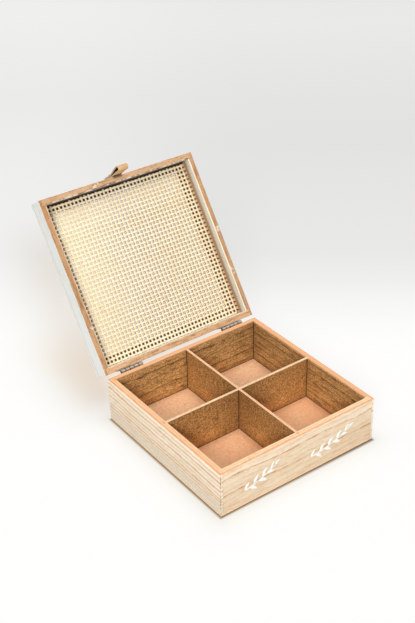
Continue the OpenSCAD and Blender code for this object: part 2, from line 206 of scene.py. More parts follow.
sheet_form = bmesh.new()
sheet_rings = []
for step in range(96):
    angle = math.radians(step * 3.75)
    across, along = math.cos(angle), math.sin(angle)
    to_square = 0.097 / max(abs(across), abs(along))
    sheet_rings.append([
        sheet_form.verts.new((across * reach, along * reach, -0.0002)) for reach in (to_square, 0.6, 9.0)
    ])
for step, ring in enumerate(sheet_rings):
    following = sheet_rings[(step + 1) % 96]
    for near in (0, 1):
        sheet_form.faces.new((ring[near], ring[near + 1], following[near + 1], following[near]))
sheet_mesh = bpy.data.meshes.new("studio_sheet")
sheet_form.to_mesh(sheet_mesh)
sheet_form.free()
sheet_mesh.materials.append(sheet_material)
studio_sheet = bpy.data.objects.new("studio_sheet", sheet_mesh)
bpy.context.scene.collection.objects.link(studio_sheet)


# Light. Even light from a white room, a large soft lamp in front of the box on the left,
# another overhead that reaches the compartments' floors, and weak ones on the right, behind
# the box and under it, for the sides that face away.
world = bpy.data.worlds.new("white_room")
bpy.context.scene.world = world
world.use_nodes = True
world.node_tree.nodes.clear()
tree = world.node_tree
rays = put(tree, "ShaderNodeLightPath").outputs
seen = calc(tree, "ADD", rays["Is Camera Ray"], rays["Is Glossy Ray"])
seen = calc(tree, "MINIMUM", calc(tree, "ADD", seen, rays["Is Transmission Ray"]), 1.0)
room = tint(tree, seen, (0.22, 0.22, 0.225, 1), room_white)
backdrop = put(tree, "ShaderNodeBackground", {"Color": room, "Strength": 1.0})
room_end = put(tree, "ShaderNodeOutputWorld")
tree.links.new(backdrop.outputs[0], room_end.inputs["Surface"])


def soft_lamp(name, place, size, watts, colour):
    """A square lamp that faces the box."""
    lamp = bpy.data.lights.new(name, "AREA")
    lamp.size = size
    lamp.energy = watts
    lamp.color = colour
    lamp_object = bpy.data.objects.new(name, lamp)
    facing = (Vector((0, 0, 0.08)) - Vector(place)).to_track_quat("-Z", "Y").to_matrix().to_4x4()
    lamp_object.matrix_world = Matrix.Translation(place) @ facing
    bpy.context.scene.collection.objects.link(lamp_object)


soft_lamp("left_lamp", (-2.5, -2.6, 2.15), 1.2, 122.0, (1.0, 0.99, 0.97))
soft_lamp("overhead_lamp", (0.1, -0.35, 4.2), 2.6, 86.0, (1.0, 1.0, 1.0))
soft_lamp("right_lamp", (2.7, -1.8, 2.2), 2.0, 9.0, (0.98, 0.99, 1.0))
soft_lamp("back_lamp", (0.9, 3.2, 1.1), 2.0, 16.0, (1.0, 1.0, 1.0))
soft_lamp("low_lamp", (0.2, 0.3, -2.6), 2.0, 36.0, (1.0, 1.0, 1.0))


# Base walls. Four 7 mm boards of pale wood, limed outside, stained brown inside and sanded
# back to raw wood on the rim; the side boards' thin lips cover the ends of the other two.
half_box = 100.0
inner_face = 93.0
rim_height = 54.0
lip_seam = 97.0
divider_half = 1.5


def noise(tree, place, cycles, detail=2.0, rough=0.5, warp=0.0):
    """A soft random pattern with so many cycles a millimetre each way."""
    spread = put(tree, "ShaderNodeVectorMath", {0: place, 1: cycles}, operation="MULTIPLY")
    settings = {
        "Vector": spread.outputs[0], "Scale": 1.0, "Detail": detail,
        "Roughness": rough, "Distortion": warp,
    }
    return put(tree, "ShaderNodeTexNoise", settings).outputs[0]


def new_group(name, takes, gives):
    """An empty node group, with its inner input and output sockets."""
    tree = bpy.data.node_groups.new(name, "ShaderNodeTree")
    for label, kind, start in takes:
        socket = tree.interface.new_socket(label, in_out="INPUT", socket_type=kind)
        socket.default_value = start
    for label, kind in gives:
        tree.interface.new_socket(label, in_out="OUTPUT", socket_type=kind)
    taken = put(tree, "NodeGroupInput").outputs
    given = put(tree, "NodeGroupOutput").inputs
    return tree, taken, given


def place_in_mm(tree, order="xyz", turn=None):
    """Object coordinates in millimetres, and the same with the axes in the given order:
    along the grain, through the board, across the grain."""
    place = put(tree, "ShaderNodeTexCoord").outputs["Object"]
    if turn is not None:
        settings = {"Vector": place, "Location": turn[0], "Rotation": turn[1]}
        place = put(tree, "ShaderNodeMapping", settings).outputs[0]
    place = put(tree, "ShaderNodeVectorMath", {0: place, "Scale": 1000.0}, operation="SCALE")
    parts = put(tree, "ShaderNodeSeparateXYZ", {0: place.outputs[0]}).outputs
    lie = {"x": parts[0], "y": parts[1], "z": parts[2]}
    board = put(tree, "ShaderNodeCombineXYZ", {i: lie[axis] for i, axis in enumerate(order)})
    return place.outputs[0], lie, board.outputs[0]


# Wood figure: the yearly rings wander along the board, and the fibres follow them
NUMBER = "NodeSocketFloat"
wood_figure, taken, given = new_group(
    "wood_figure",
    [("Board", "NodeSocketVector", (0, 0, 0)), ("Seed", NUMBER, 0.0), ("Wander", NUMBER, 3.0)],
    [("Across", NUMBER), ("Breaks", NUMBER), ("Fibre", NUMBER), ("Pores", NUMBER),
     ("Streaks", NUMBER), ("Cloud", NUMBER), ("Relief", NUMBER)],
)
tree = wood_figure
shift = put(tree, "ShaderNodeVectorMath", {0: (37.3, 19.1, 23.7), "Scale": taken["Seed"]}, operation="SCALE")
board = put(tree, "ShaderNodeVectorMath", {0: taken["Board"], 1: shift.outputs[0]}, operation="ADD")
board = board.outputs[0]
drift = calc(tree, "SUBTRACT", noise(tree, board, (0.014, 0.06, 0.03), 2.0), 0.5)
drift = calc(tree, "MULTIPLY", calc(tree, "MULTIPLY", drift, taken["Wander"]), 4.0)
quiver = calc(tree, "SUBTRACT", noise(tree, board, (0.1, 0.3, 0.22), 4.0, 0.72), 0.5)
drift = calc(tree, "MULTIPLY_ADD", quiver, 4.0, drift)
parts = put(tree, "ShaderNodeSeparateXYZ", {0: board}).outputs
bent = put(tree, "ShaderNodeCombineXYZ", {0: parts[0], 1: parts[1], 2: calc(tree, "ADD", parts[2], drift)})
bent = bent.outputs[0]
height = put(tree, "ShaderNodeSeparateXYZ", {0: taken["Board"]}).outputs[2]
tree.links.new(calc(tree, "ADD", height, drift), given["Across"])
breaks = noise(tree, bent, (0.075, 0.5, 0.16), 4.0, 0.7)
tree.links.new(span(tree, breaks, 0.4, 0.58), given["Breaks"])
fibre = noise(tree, bent, (0.07, 0.8, 0.8), 6.0, 0.8)
tree.links.new(span(tree, fibre, 0.32, 0.68), given["Fibre"])
streaks = noise(tree, bent, (0.05, 0.42, 0.42), 4.0, 0.7)
tree.links.new(span(tree, streaks, 0.5, 0.66), given["Streaks"])
pores = span(tree, noise(tree, bent, (0.22, 1.5, 1.5), 2.0, 0.6), 0.58, 0.7)
tree.links.new(pores, given["Pores"])
tree.links.new(span(tree, noise(tree, board, (0.013, 0.05, 0.045), 3.0, 0.6), 0.3, 0.7), given["Cloud"])
tree.links.new(calc(tree, "MULTIPLY_ADD", pores, -0.7, fibre), given["Relief"])

# Inner corners: a dark seam where boards meet, and beside it a soft darkening of stain and painted shade
inner_corners, taken, given = new_group(
    "inner_corners",
    [("Place", "NodeSocketVector", (0, 0, 0)), ("Upright", NUMBER, 1.0)],
    [("Seam", NUMBER), ("Stain And Painted Shade", NUMBER)],
)
tree = inner_corners
parts = put(tree, "ShaderNodeSeparateXYZ", {0: taken["Place"]}).outputs
gaps = []
for socket in (parts[0], parts[1]):
    size = calc(tree, "ABSOLUTE", socket)
    to_divider = calc(tree, "ABSOLUTE", calc(tree, "SUBTRACT", size, divider_half))
    to_wall = calc(tree, "ABSOLUTE", calc(tree, "SUBTRACT", size, inner_face))
    gaps.append(calc(tree, "MINIMUM", to_divider, to_wall))
upright_gap = calc(tree, "MAXIMUM", *gaps)
floor_gap = calc(tree, "MINIMUM", *gaps)
to_floor = calc(tree, "ABSOLUTE", calc(tree, "SUBTRACT", parts[2], 3.0))
upright_gap = calc(tree, "MINIMUM", upright_gap, to_floor)
mixed = put(tree, "ShaderNodeMix", {0: taken["Upright"], 2: floor_gap, 3: upright_gap})
gap = mixed.outputs[0]
rough_edge = noise(tree, taken["Place"], (0.5, 0.5, 0.5), 3.0, 0.6)
seam_gap = calc(tree, "MULTIPLY_ADD", rough_edge, -0.9, gap)
tree.links.new(span(tree, seam_gap, -0.15, 0.35, 1.0, 0.0), given["Seam"])
tree.links.new(span(tree, calc(tree, "MULTIPLY_ADD", rough_edge, -5.0, gap), -2.0, 6.0, 1.0, 0.0), given["Stain And Painted Shade"])

# Brown stain: uneven and full of specks, darker where it was wiped on near the rim
brown_stain, taken, given = new_group(
    "brown_stain",
    [("Place", "NodeSocketVector", (0, 0, 0)), ("Seed", NUMBER, 0.0)],
    [("Color", "NodeSocketColor"), ("Relief", NUMBER)],
)
tree = brown_stain
shift = put(tree, "ShaderNodeVectorMath", {0: (31.7, 17.9, 5.3), "Scale": taken["Seed"]}, operation="SCALE")
place = put(tree, "ShaderNodeVectorMath", {0: taken["Place"], 1: shift.outputs[0]}, operation="ADD").outputs[0]
specks = noise(tree, place, (0.6, 0.6, 0.6), 4.0, 0.85)
mottle = noise(tree, place, (0.3, 0.3, 0.36), 4.0, 0.8, 1.0)
cloud = noise(tree, place, (0.05, 0.05, 0.05), 3.0, 0.6, 0.6)
high = put(tree, "ShaderNodeSeparateXYZ", {0: taken["Place"]}).outputs[2]
near_rim = span(tree, calc(tree, "MULTIPLY_ADD", cloud, 26.0, high), 34.0, 68.0)
stain = tint(tree, span(tree, cloud, 0.36, 0.66), linear(216, 161, 88), linear(200, 145, 76))
stain = tint(tree, calc(tree, "MULTIPLY", near_rim, 0.7), stain, linear(172, 121, 68))
stain = tint(tree, span(tree, mottle, 0.48, 0.64, 0.0, 0.85), stain, linear(124, 80, 42))
stain = tint(tree, span(tree, mottle, 0.36, 0.48, 0.75, 0.0), stain, linear(232, 178, 100))
stain = tint(tree, span(tree, specks, 0.5, 0.62, 0.0, 0.9), stain, linear(94, 58, 30))
stain = tint(tree, span(tree, specks, 0.38, 0.5, 0.9, 0.0), stain, linear(246, 198, 136))
tree.links.new(stain, given["Color"])
tree.links.new(calc(tree, "ADD", specks, mottle), given["Relief"])


def ring_stops(rings, across, soft):
    """Stops of a ramp over a board's width: a ring darkens slowly, then fast, and ends sharply."""
    stops = [(0.0, 0.08)]
    for height, strength in rings:
        at = height / across
        stops.append((max(at - 1.6 * soft / across, stops[-1][0] + 0.001), strength * 0.22))
        stops.append((at, strength))
        stops.append((at + soft / across, 0.0))
    return stops


def wall_material(name, order, seed, rings, tones, steady, rim_tone, inner_line):
    """Limed outside, raw rim, stained inside; rings are (height, strength) pairs, and steady
    tells how straight and unbroken they run; rim_tone is how orange the rim is, and
    inner_line how much stain has run over its inner edge."""
    pale, tan, ring_colour = tones
    material, tree, surface = new_material(name)
    place, lie, board = place_in_mm(tree, order)
    settings = {"Board": board, "Seed": seed, "Wander": 3.4 - 2.6 * steady}
    figure = put(tree, "ShaderNodeGroup", settings, node_tree=wood_figure).outputs
    across = calc(tree, "DIVIDE", figure["Across"], 60.0)
    unbroken = calc(tree, "MULTIPLY_ADD", figure["Breaks"], 0.7 - 0.5 * steady, 0.3 + 0.5 * steady)
    ring = calc(tree, "MULTIPLY", ramp(tree, across, ring_stops(rings, 60.0, 0.75)), unbroken)
    deep_ring = calc(tree, "MULTIPLY", ramp(tree, across, ring_stops(rings, 60.0, 1.5)), unbroken)

    outside = tint(tree, figure["Cloud"], pale, tan)
    outside = tint(tree, calc(tree, "MULTIPLY", figure["Fibre"], 0.45), outside, linear(248, 235, 214))
    sapwood = calc(tree, "MULTIPLY_ADD", figure["Cloud"], 6.0, lie["z"])
    outside = tint(tree, span(tree, sapwood, 36.0, 45.0, 0.0, 0.45), outside, linear(252, 236, 212))
    outside = tint(tree, calc(tree, "MULTIPLY", figure["Streaks"], 0.32), outside, ring_colour)
    outside = tint(tree, calc(tree, "MULTIPLY", deep_ring, 0.4), outside, ring_colour)
    outside = tint(tree, ring, outside, ring_colour)
    core = calc(tree, "MULTIPLY", calc(tree, "POWER", ring, 3.0), 0.8 - 0.6 * steady)
    outside = tint(tree, core, outside, linear(138, 84, 40))
    outside = tint(tree, calc(tree, "MULTIPLY", figure["Pores"], 0.3), outside, linear(196, 146, 94))
    low = span(tree, calc(tree, "MULTIPLY_ADD", figure["Cloud"], 8.0, lie["z"]), 14.0, 26.0, 0.6 * steady, 0.0)
    specks = span(tree, noise(tree, place, (0.5, 0.5, 0.9), 4.0, 0.8), 0.4, 0.6)
    dusty = tint(tree, specks, linear(226, 217, 200), linear(176, 160, 138))
    outside = tint(tree, low, outside, dusty)
    x_size = calc(tree, "ABSOLUTE", lie["x"])
    y_size = calc(tree, "ABSOLUTE", lie["y"])
    lip_line = calc(tree, "ABSOLUTE", calc(tree, "SUBTRACT", x_size, lip_seam))
    worn = span(tree, noise(tree, place, (0.3, 0.3, 0.16), 3.0, 0.7), 0.42, 0.6)
    lip_line = calc(tree, "MULTIPLY", span(tree, lip_line, 0.12, 0.4, 0.6, 0.0), worn)
    end_face = span(tree, y_size, 99.6, 99.8)
    outside = tint(tree, calc(tree, "MULTIPLY", lip_line, end_face), outside, linear(150, 108, 70))
    corner_gap = calc(tree, "SUBTRACT", half_box, calc(tree, "MINIMUM", x_size, y_size))
    corner = calc(tree, "MULTIPLY", span(tree, corner_gap, 0.3, 0.8, 0.9, 0.0), calc(tree, "SUBTRACT", 1.1, worn))
    outside = tint(tree, corner, outside, linear(140, 92, 52))

    from_outside = calc(tree, "SUBTRACT", half_box, calc(tree, "MAXIMUM", x_size, y_size))
    band = calc(tree, "MULTIPLY_ADD", calc(tree, "SUBTRACT", figure["Fibre"], 0.5), 1.2, from_outside)
    streak = calc(tree, "ABSOLUTE", calc(tree, "SUBTRACT", band, 4.0))
    streak = span(tree, streak, 0.2, 0.9, 1.0, 0.0)
    raw = tint(tree, span(tree, band, 1.2, 2.6), linear(238, 166, 112), linear(252, 216, 172))
    raw = tint(tree, calc(tree, "MULTIPLY", streak, 0.75), raw, linear(240, 168, 112))
    raw = tint(tree, calc(tree, "MULTIPLY", figure["Fibre"], 0.4), raw, linear(255, 230, 192))
    raw = tint(tree, calc(tree, "MULTIPLY", figure["Pores"], 0.5), raw, linear(206, 136, 84))
    raw = tint(tree, rim_tone, raw, linear(236, 164, 110))
    raw = tint(tree, span(tree, band, 5.3, 6.1, 0.0, inner_line), raw, linear(170, 122, 82))
    raw = tint(tree, span(tree, from_outside, 0.35, 0.7, 0.45, 0.0), raw, linear(206, 132, 80))

    stain = put(tree, "ShaderNodeGroup", {"Place": place, "Seed": seed}, node_tree=brown_stain).outputs
    corners = put(tree, "ShaderNodeGroup", {"Place": place}, node_tree=inner_corners).outputs
    inside = tint(tree, calc(tree, "MULTIPLY", figure["Fibre"], 0.42), stain["Color"], linear(240, 194, 130))
    inside = tint(tree, calc(tree, "MULTIPLY", figure["Streaks"], 0.78), inside, linear(108, 70, 34))
    inside = tint(tree, calc(tree, "MULTIPLY", figure["Pores"], 0.55), inside, linear(96, 62, 30))
    inside = tint(tree, calc(tree, "MULTIPLY", deep_ring, 0.4), inside, linear(78, 48, 22))
    inside = tint(tree, calc(tree, "MULTIPLY", ring, 0.95), inside, linear(52, 30, 12))
    # Stain and painted shade beside the inner corners.
    inside = tint(tree, calc(tree, "MULTIPLY", corners["Stain And Painted Shade"], 0.3), inside, linear(134, 92, 50))
    # Painted light: paler stain low down in the middle of each inner face, to lift the shade there.
    painted_fill_light = calc(tree, "ABSOLUTE", calc(tree, "SUBTRACT", calc(tree, "MINIMUM", x_size, y_size), 47.0))
    painted_fill_light = calc(tree, "MULTIPLY", span(tree, painted_fill_light, 8.0, 28.0, 0.42, 0.0), span(tree, lie["z"], 6.0, 26.0, 1.0, 0.0))
    inside = tint(tree, 1.0, inside, calc(tree, "ADD", painted_fill_light, 1.0), "MULTIPLY")
    inside = tint(tree, calc(tree, "MULTIPLY", painted_fill_light, 0.6), inside, linear(190, 146, 98))
    to_back_corner = span(tree, calc(tree, "ADD", lie["x"], lie["y"]), 118.0, 184.0, 1.0, 0.8)
    inside = tint(tree, 1.0, inside, to_back_corner, "MULTIPLY")
    inside = tint(tree, corners["Seam"], inside, linear(58, 36, 20))

    in_x = span(tree, x_size, 93.05, 93.25, 1.0, 0.0)
    in_y = span(tree, y_size, 93.05, 93.25, 1.0, 0.0)
    is_inside = calc(tree, "MULTIPLY", in_x, in_y)
    rim_edge = calc(tree, "MULTIPLY_ADD", figure["Fibre"], 0.5, lie["z"])
    is_rim = span(tree, rim_edge, 53.6, 53.8)
    colour = tint(tree, is_inside, outside, inside)
    colour = tint(tree, is_rim, colour, raw)

    relief = calc(tree, "MULTIPLY_ADD", ring, -0.2, figure["Relief"])
    relief = calc(tree, "MULTIPLY_ADD", calc(tree, "MULTIPLY", stain["Relief"], is_inside), 0.5, relief)
    bump = put(tree, "ShaderNodeBump", {"Strength": 0.4, "Distance": 0.0003, "Height": relief})
    gloss = span(tree, figure["Fibre"], 0.0, 1.0, 0.72, 0.56)
    shader = put(tree, "ShaderNodeBsdfPrincipled", {
        "Base Color": colour, "Roughness": gloss, "Specular IOR Level": 0.35,
        "Normal": bump.outputs[0],
    })
    tree.links.new(shader.outputs[0], surface)
    return material


def dress(node, material):
    """Gives a CAD node its finish."""
    slots = nodes[node].data.materials
    slots.clear()
    slots.append(material)


warm_wood = (linear(223, 203, 173), linear(207, 178, 141), linear(192, 134, 76))
cool_wood = (linear(243, 231, 212), linear(228, 212, 190), linear(196, 150, 98))
front_rings = [(9.4, 0.4), (17.3, 0.3), (24.0, 0.95), (29.4, 0.3), (36.0, 0.25), (43.8, 0.95), (50.5, 0.3)]
left_rings = [
    (7.0, 0.3), (11.4, 0.45), (15.6, 0.65), (19.7, 0.8), (23.7, 0.85), (28.4, 0.5), (33.4, 0.9), (38.6, 0.45),
    (43.7, 0.95), (49.0, 0.6),
]
back_rings = [(8.0, 0.5), (19.5, 0.95), (27.0, 0.4), (35.5, 0.6), (46.5, 0.9)]
right_rings = [(6.5, 0.5), (13.8, 0.8), (24.5, 0.6), (31.0, 0.4), (41.0, 0.85), (50.0, 0.5)]
dress("front_wall", wall_material(
    "front_board", "xyz", 1.0, front_rings, warm_wood, 0.1, 0.0, 0.0))
dress("back_wall", wall_material(
    "back_board", "xyz", 2.0, back_rings, warm_wood, 0.2, 0.55, 0.95))
dress("left_wall", wall_material(
    "left_board", "yxz", 3.0, left_rings, cool_wood, 0.9, 0.3, 0.0))
dress("right_wall", wall_material(
    "right_board", "yxz", 4.0, right_rings, cool_wood, 0.5, 0.65, 0.6))


# Bottom board. A sheet of 3 mm pressed hardboard, glued under the walls a hair inside
# their faces: salmon and fibrous inside, dark at its sawn edge, plain brown underneath.
pressed_fibre, taken, given = new_group(
    "pressed_fibre",
    [("Place", "NodeSocketVector", (0, 0, 0)), ("Seed", NUMBER, 0.0)],
    [("Fibre", NUMBER), ("Cloud", NUMBER), ("Fleck", NUMBER)],
)
tree = pressed_fibre
shift = put(tree, "ShaderNodeVectorMath", {0: (13.7, 41.9, 7.3), "Scale": taken["Seed"]}, operation="SCALE")
place = put(tree, "ShaderNodeVectorMath", {0: taken["Place"], 1: shift.outputs[0]}, operation="ADD").outputs[0]
tree.links.new(span(tree, noise(tree, place, (0.4, 0.4, 0.4), 6.0, 0.85, 0.8), 0.38, 0.62), given["Fibre"])
tree.links.new(span(tree, noise(tree, place, (0.045, 0.045, 0.045), 3.0, 0.6, 0.5), 0.32, 0.68), given["Cloud"])
fleck = noise(tree, place, (0.9, 0.42, 0.6), 3.0, 0.6, 1.5)
tree.links.new(span(tree, fleck, 0.6, 0.72), given["Fleck"])

board_material, tree, surface = new_material("bottom_hardboard")
place, lie, board = place_in_mm(tree)
fibre = put(tree, "ShaderNodeGroup", {"Place": place, "Seed": 1.0}, node_tree=pressed_fibre).outputs
corners = put(tree, "ShaderNodeGroup", {"Place": place, "Upright": 0.0}, node_tree=inner_corners).outputs
salmon = tint(tree, fibre["Cloud"], linear(250, 192, 146), linear(255, 206, 162))
salmon = tint(tree, span(tree, lie["y"], -40.0, 60.0, 0.05, 0.65), salmon, linear(255, 222, 182))
salmon = tint(tree, calc(tree, "MULTIPLY", fibre["Fibre"], 0.75), salmon, linear(236, 170, 119))
salmon = tint(tree, calc(tree, "MULTIPLY", fibre["Fleck"], 0.75), salmon, linear(176, 112, 70))
# Stain and painted shade along the floor's edges by the walls and dividers.
salmon = tint(tree, calc(tree, "MULTIPLY", corners["Stain And Painted Shade"], 0.3), salmon, linear(196, 134, 90))
salmon = tint(tree, calc(tree, "MULTIPLY", corners["Seam"], 0.8), salmon, linear(104, 62, 36))
sawn = tint(tree, fibre["Fibre"], linear(244, 212, 172), linear(226, 190, 148))
sawn = tint(tree, span(tree, lie["z"], 0.7, 1.5), linear(108, 70, 38), sawn)
under = tint(tree, fibre["Cloud"], linear(158, 118, 84), linear(176, 134, 98))
under = tint(tree, calc(tree, "MULTIPLY", fibre["Fibre"], 0.4), under, linear(128, 90, 60))
under = tint(tree, calc(tree, "MULTIPLY", fibre["Fleck"], 0.5), under, linear(96, 64, 42))
edge = calc(tree, "MAXIMUM", calc(tree, "ABSOLUTE", lie["x"]), calc(tree, "ABSOLUTE", lie["y"]))
colour = tint(tree, span(tree, lie["z"], 2.85, 2.95), under, salmon)
is_sawn = calc(tree, "MULTIPLY", span(tree, edge, 99.5, 99.6), span(tree, lie["z"], 0.0, 0.25))
colour = tint(tree, is_sawn, colour, sawn)
bump = put(tree, "ShaderNodeBump", {"Strength": 0.4, "Distance": 0.0003, "Height": fibre["Fibre"]})
shader = put(tree, "ShaderNodeBsdfPrincipled", {
    "Base Color": colour, "Roughness": span(tree, fibre["Fibre"], 0.0, 1.0, 0.62, 0.8),
    "Specular IOR Level": 0.3, "Normal": bump.outputs[0],
})
tree.links.new(shader.outputs[0], surface)
dress("bottom_board", board_material)


# Dividers. Two strips of the same 3 mm hardboard, lapped at the middle and slid into
# grooves in the walls; stained like the walls, with their top edges left raw.
def divider_material(name, seed, raw_pale, raw_tan):
    material, tree, surface = new_material(name)
    place, lie, board = place_in_mm(tree)
    fibre = put(tree, "ShaderNodeGroup", {"Place": place, "Seed": seed}, node_tree=pressed_fibre).outputs
    stain = put(tree, "ShaderNodeGroup", {"Place": place, "Seed": seed}, node_tree=brown_stain).outputs
    corners = put(tree, "ShaderNodeGroup", {"Place": place}, node_tree=inner_corners).outputs
    side = tint(tree, calc(tree, "MULTIPLY", fibre["Fibre"], 0.3), stain["Color"], linear(206, 158, 92))
    side = tint(tree, calc(tree, "MULTIPLY", fibre["Fleck"], 0.4), side, linear(108, 72, 38))
    from_middle = calc(tree, "MAXIMUM", calc(tree, "ABSOLUTE", lie["x"]), calc(tree, "ABSOLUTE", lie["y"]))
    side = tint(tree, 1.0, side, span(tree, from_middle, 8.0, 46.0, 0.66, 0.85), "MULTIPLY")
    side = tint(tree, 1.0, side, (1.0, 0.95, 0.93, 1), "MULTIPLY")
    # Painted light: paler stain low down in the middle of each side, to lift the shade there.
    painted_fill_light = calc(tree, "ABSOLUTE", calc(tree, "SUBTRACT", from_middle, 47.0))
    painted_fill_light = calc(tree, "MULTIPLY", span(tree, painted_fill_light, 8.0, 28.0, 0.5, 0.0), span(tree, lie["z"], 6.0, 26.0, 1.0, 0.0))
    side = tint(tree, 1.0, side, calc(tree, "ADD", painted_fill_light, 1.0), "MULTIPLY")
    side = tint(tree, calc(tree, "MULTIPLY", painted_fill_light, 0.4), side, linear(184, 140, 94))
    # Stain and painted shade beside the inner corners.
    side = tint(tree, calc(tree, "MULTIPLY", corners["Stain And Painted Shade"], 0.3), side, linear(134, 92, 50))
    side = tint(tree, corners["Seam"], side, linear(58, 36, 20))
    raw = tint(tree, fibre["Cloud"], raw_pale, raw_tan)
    raw = tint(tree, calc(tree, "MULTIPLY", fibre["Fibre"], 0.5), raw, linear(222, 168, 122))
    raw = tint(tree, calc(tree, "MULTIPLY", fibre["Fleck"], 0.4), raw, linear(170, 112, 70))
    rim_edge = calc(tree, "MULTIPLY_ADD", fibre["Fibre"], 0.25, lie["z"])
    colour = tint(tree, span(tree, rim_edge, 53.8, 53.95), side, raw)
    relief = calc(tree, "ADD", fibre["Fibre"], stain["Relief"])
    bump = put(tree, "ShaderNodeBump", {"Strength": 0.4, "Distance": 0.0003, "Height": relief})
    shader = put(tree, "ShaderNodeBsdfPrincipled", {
        "Base Color": colour, "Roughness": span(tree, fibre["Fibre"], 0.0, 1.0, 0.6, 0.78),
        "Specular IOR Level": 0.3, "Normal": bump.outputs[0],
    })
    tree.links.new(shader.outputs[0], surface)
    return material


dress("lengthwise_divider", divider_material(
    "lengthwise_hardboard", 5.0, linear(255, 230, 194), linear(250, 216, 176)))
dress("crosswise_divider", divider_material(
    "crosswise_hardboard", 6.0, linear(255, 212, 172), linear(248, 198, 156)))


# Hinges. Two small steel butt hinges with stop ears, each with five knuckles round a loose
# pin; the leaves are screwed flat to the backs of the box and the lid with four screws.
worn_metal, taken, given = new_group(
    "worn_metal",
    [("Place", "NodeSocketVector", (0, 0, 0)), ("Stroke", "NodeSocketVector", (0.3, 4.0, 4.0))],
    [("Brushed", NUMBER), ("Dull", NUMBER), ("Spots", NUMBER)],
)
tree = worn_metal
spread = put(tree, "ShaderNodeVectorMath", {0: taken["Place"], 1: taken["Stroke"]}, operation="MULTIPLY")
brushed = put(tree, "ShaderNodeTexNoise", {"Vector": spread.outputs[0], "Scale": 1.0, "Detail": 3.0})
tree.links.new(span(tree, brushed.outputs[0], 0.3, 0.7), given["Brushed"])
tree.links.new(span(tree, noise(tree, taken["Place"], (0.25, 0.25, 0.25), 3.0, 0.6), 0.38, 0.66), given["Dull"])
tree.links.new(span(tree, noise(tree, taken["Place"], (1.4, 1.4, 1.4), 2.0, 0.6), 0.62, 0.72), given["Spots"])


hinge_from_middle = 68.0
hinge_length = 28.0
knuckle_length = 5.6


def metal_material(name, bright, dark, stroke, low, high, grimy=False):
    """Bare metal, brushed along one way, dulled in patches and spotted where dirt sits;
    a grimy one is a hinge leaf, dark where its knuckles meet."""
    material, tree, surface = new_material(name)
    place, lie, board = place_in_mm(tree)
    settings = {"Place": place, "Stroke": stroke}
    worn = put(tree, "ShaderNodeGroup", settings, node_tree=worn_metal).outputs
    colour = tint(tree, worn["Brushed"], bright, dark)
    colour = tint(tree, calc(tree, "MULTIPLY", worn["Dull"], 0.45), colour, dark)
    colour = tint(tree, calc(tree, "MULTIPLY", worn["Spots"], 0.4), colour, linear(92, 80, 66))
    if grimy:
        along = calc(tree, "SUBTRACT", calc(tree, "ABSOLUTE", lie["x"]), hinge_from_middle)
        to_joint = calc(tree, "PINGPONG", calc(tree, "ADD", along, hinge_length / 2), knuckle_length / 2)
        near_joint = span(tree, to_joint, 0.25, 0.8, 0.9, 0.0)
        by_pin = span(tree, lie["z"], 49.5, 51.5)
        colour = tint(tree, calc(tree, "MULTIPLY", near_joint, by_pin), colour, linear(58, 52, 44))
    gloss = span(tree, worn["Dull"], 0.0, 1.0, low, high)
    bump = put(tree, "ShaderNodeBump", {"Strength": 0.3, "Distance": 0.00005, "Height": worn["Brushed"]})
    shader = put(tree, "ShaderNodeBsdfPrincipled", {
        "Base Color": colour, "Metallic": 1.0, "Roughness": gloss, "Normal": bump.outputs[0],
    })
    tree.links.new(shader.outputs[0], surface)
    return material


leaf_steel = metal_material(
    "leaf_steel", linear(206, 202, 194), linear(150, 144, 136), (0.25, 3.5, 3.5), 0.34, 0.52, True)
pin_steel = metal_material(
    "pin_steel", linear(188, 184, 178), linear(136, 130, 124), (0.5, 3.0, 3.0), 0.28, 0.45)
screw_steel = metal_material(
    "screw_steel", linear(222, 214, 196), linear(172, 162, 142), (2.5, 2.5, 2.5), 0.25, 0.42)
for side in ("left", "right"):
    dress(side + "_hinge_base_leaf", leaf_steel)
    dress(side + "_hinge_lid_leaf", leaf_steel)
    dress(side + "_hinge_pin", pin_steel)
dress("base_hinge_screws", screw_steel)
dress("lid_hinge_screws", screw_steel)


# Lid frame. Four rails on edge and four mitred strips over them, of the same pale wood;
# painted thinly in off-white outside and on the rails' inner faces, raw on the rim.
hinge_pin_place = Vector((0, 0.1022, 0.0542))
close_turn = math.radians(125)
close_shift = hinge_pin_place - Matrix.Rotation(close_turn, 3, "X") @ hinge_pin_place
closed = (close_shift, (close_turn, 0, 0))
lid_rim_height = 54.4
strip_height = 72.9
window_half = 83.5


lid_rings = [(4.0, 0.6), (9.5, 0.8), (14.0, 0.45), (20.5, 0.9), (26.5, 0.6)]
cane_pitch_x = 4.81
cane_pitch_y = 4.908
cane_shift_y = 0.85


def crossings(tree, lie):
    """Places in the webbing, as the number of strands from the middle along x and along y."""
    along_x = calc(tree, "DIVIDE", lie["x"], cane_pitch_x)
    along_y = calc(tree, "DIVIDE", calc(tree, "SUBTRACT", lie["y"], cane_shift_y), cane_pitch_y)
    return {"x": along_x, "y": calc(tree, "ADD", along_y, 0.5)}


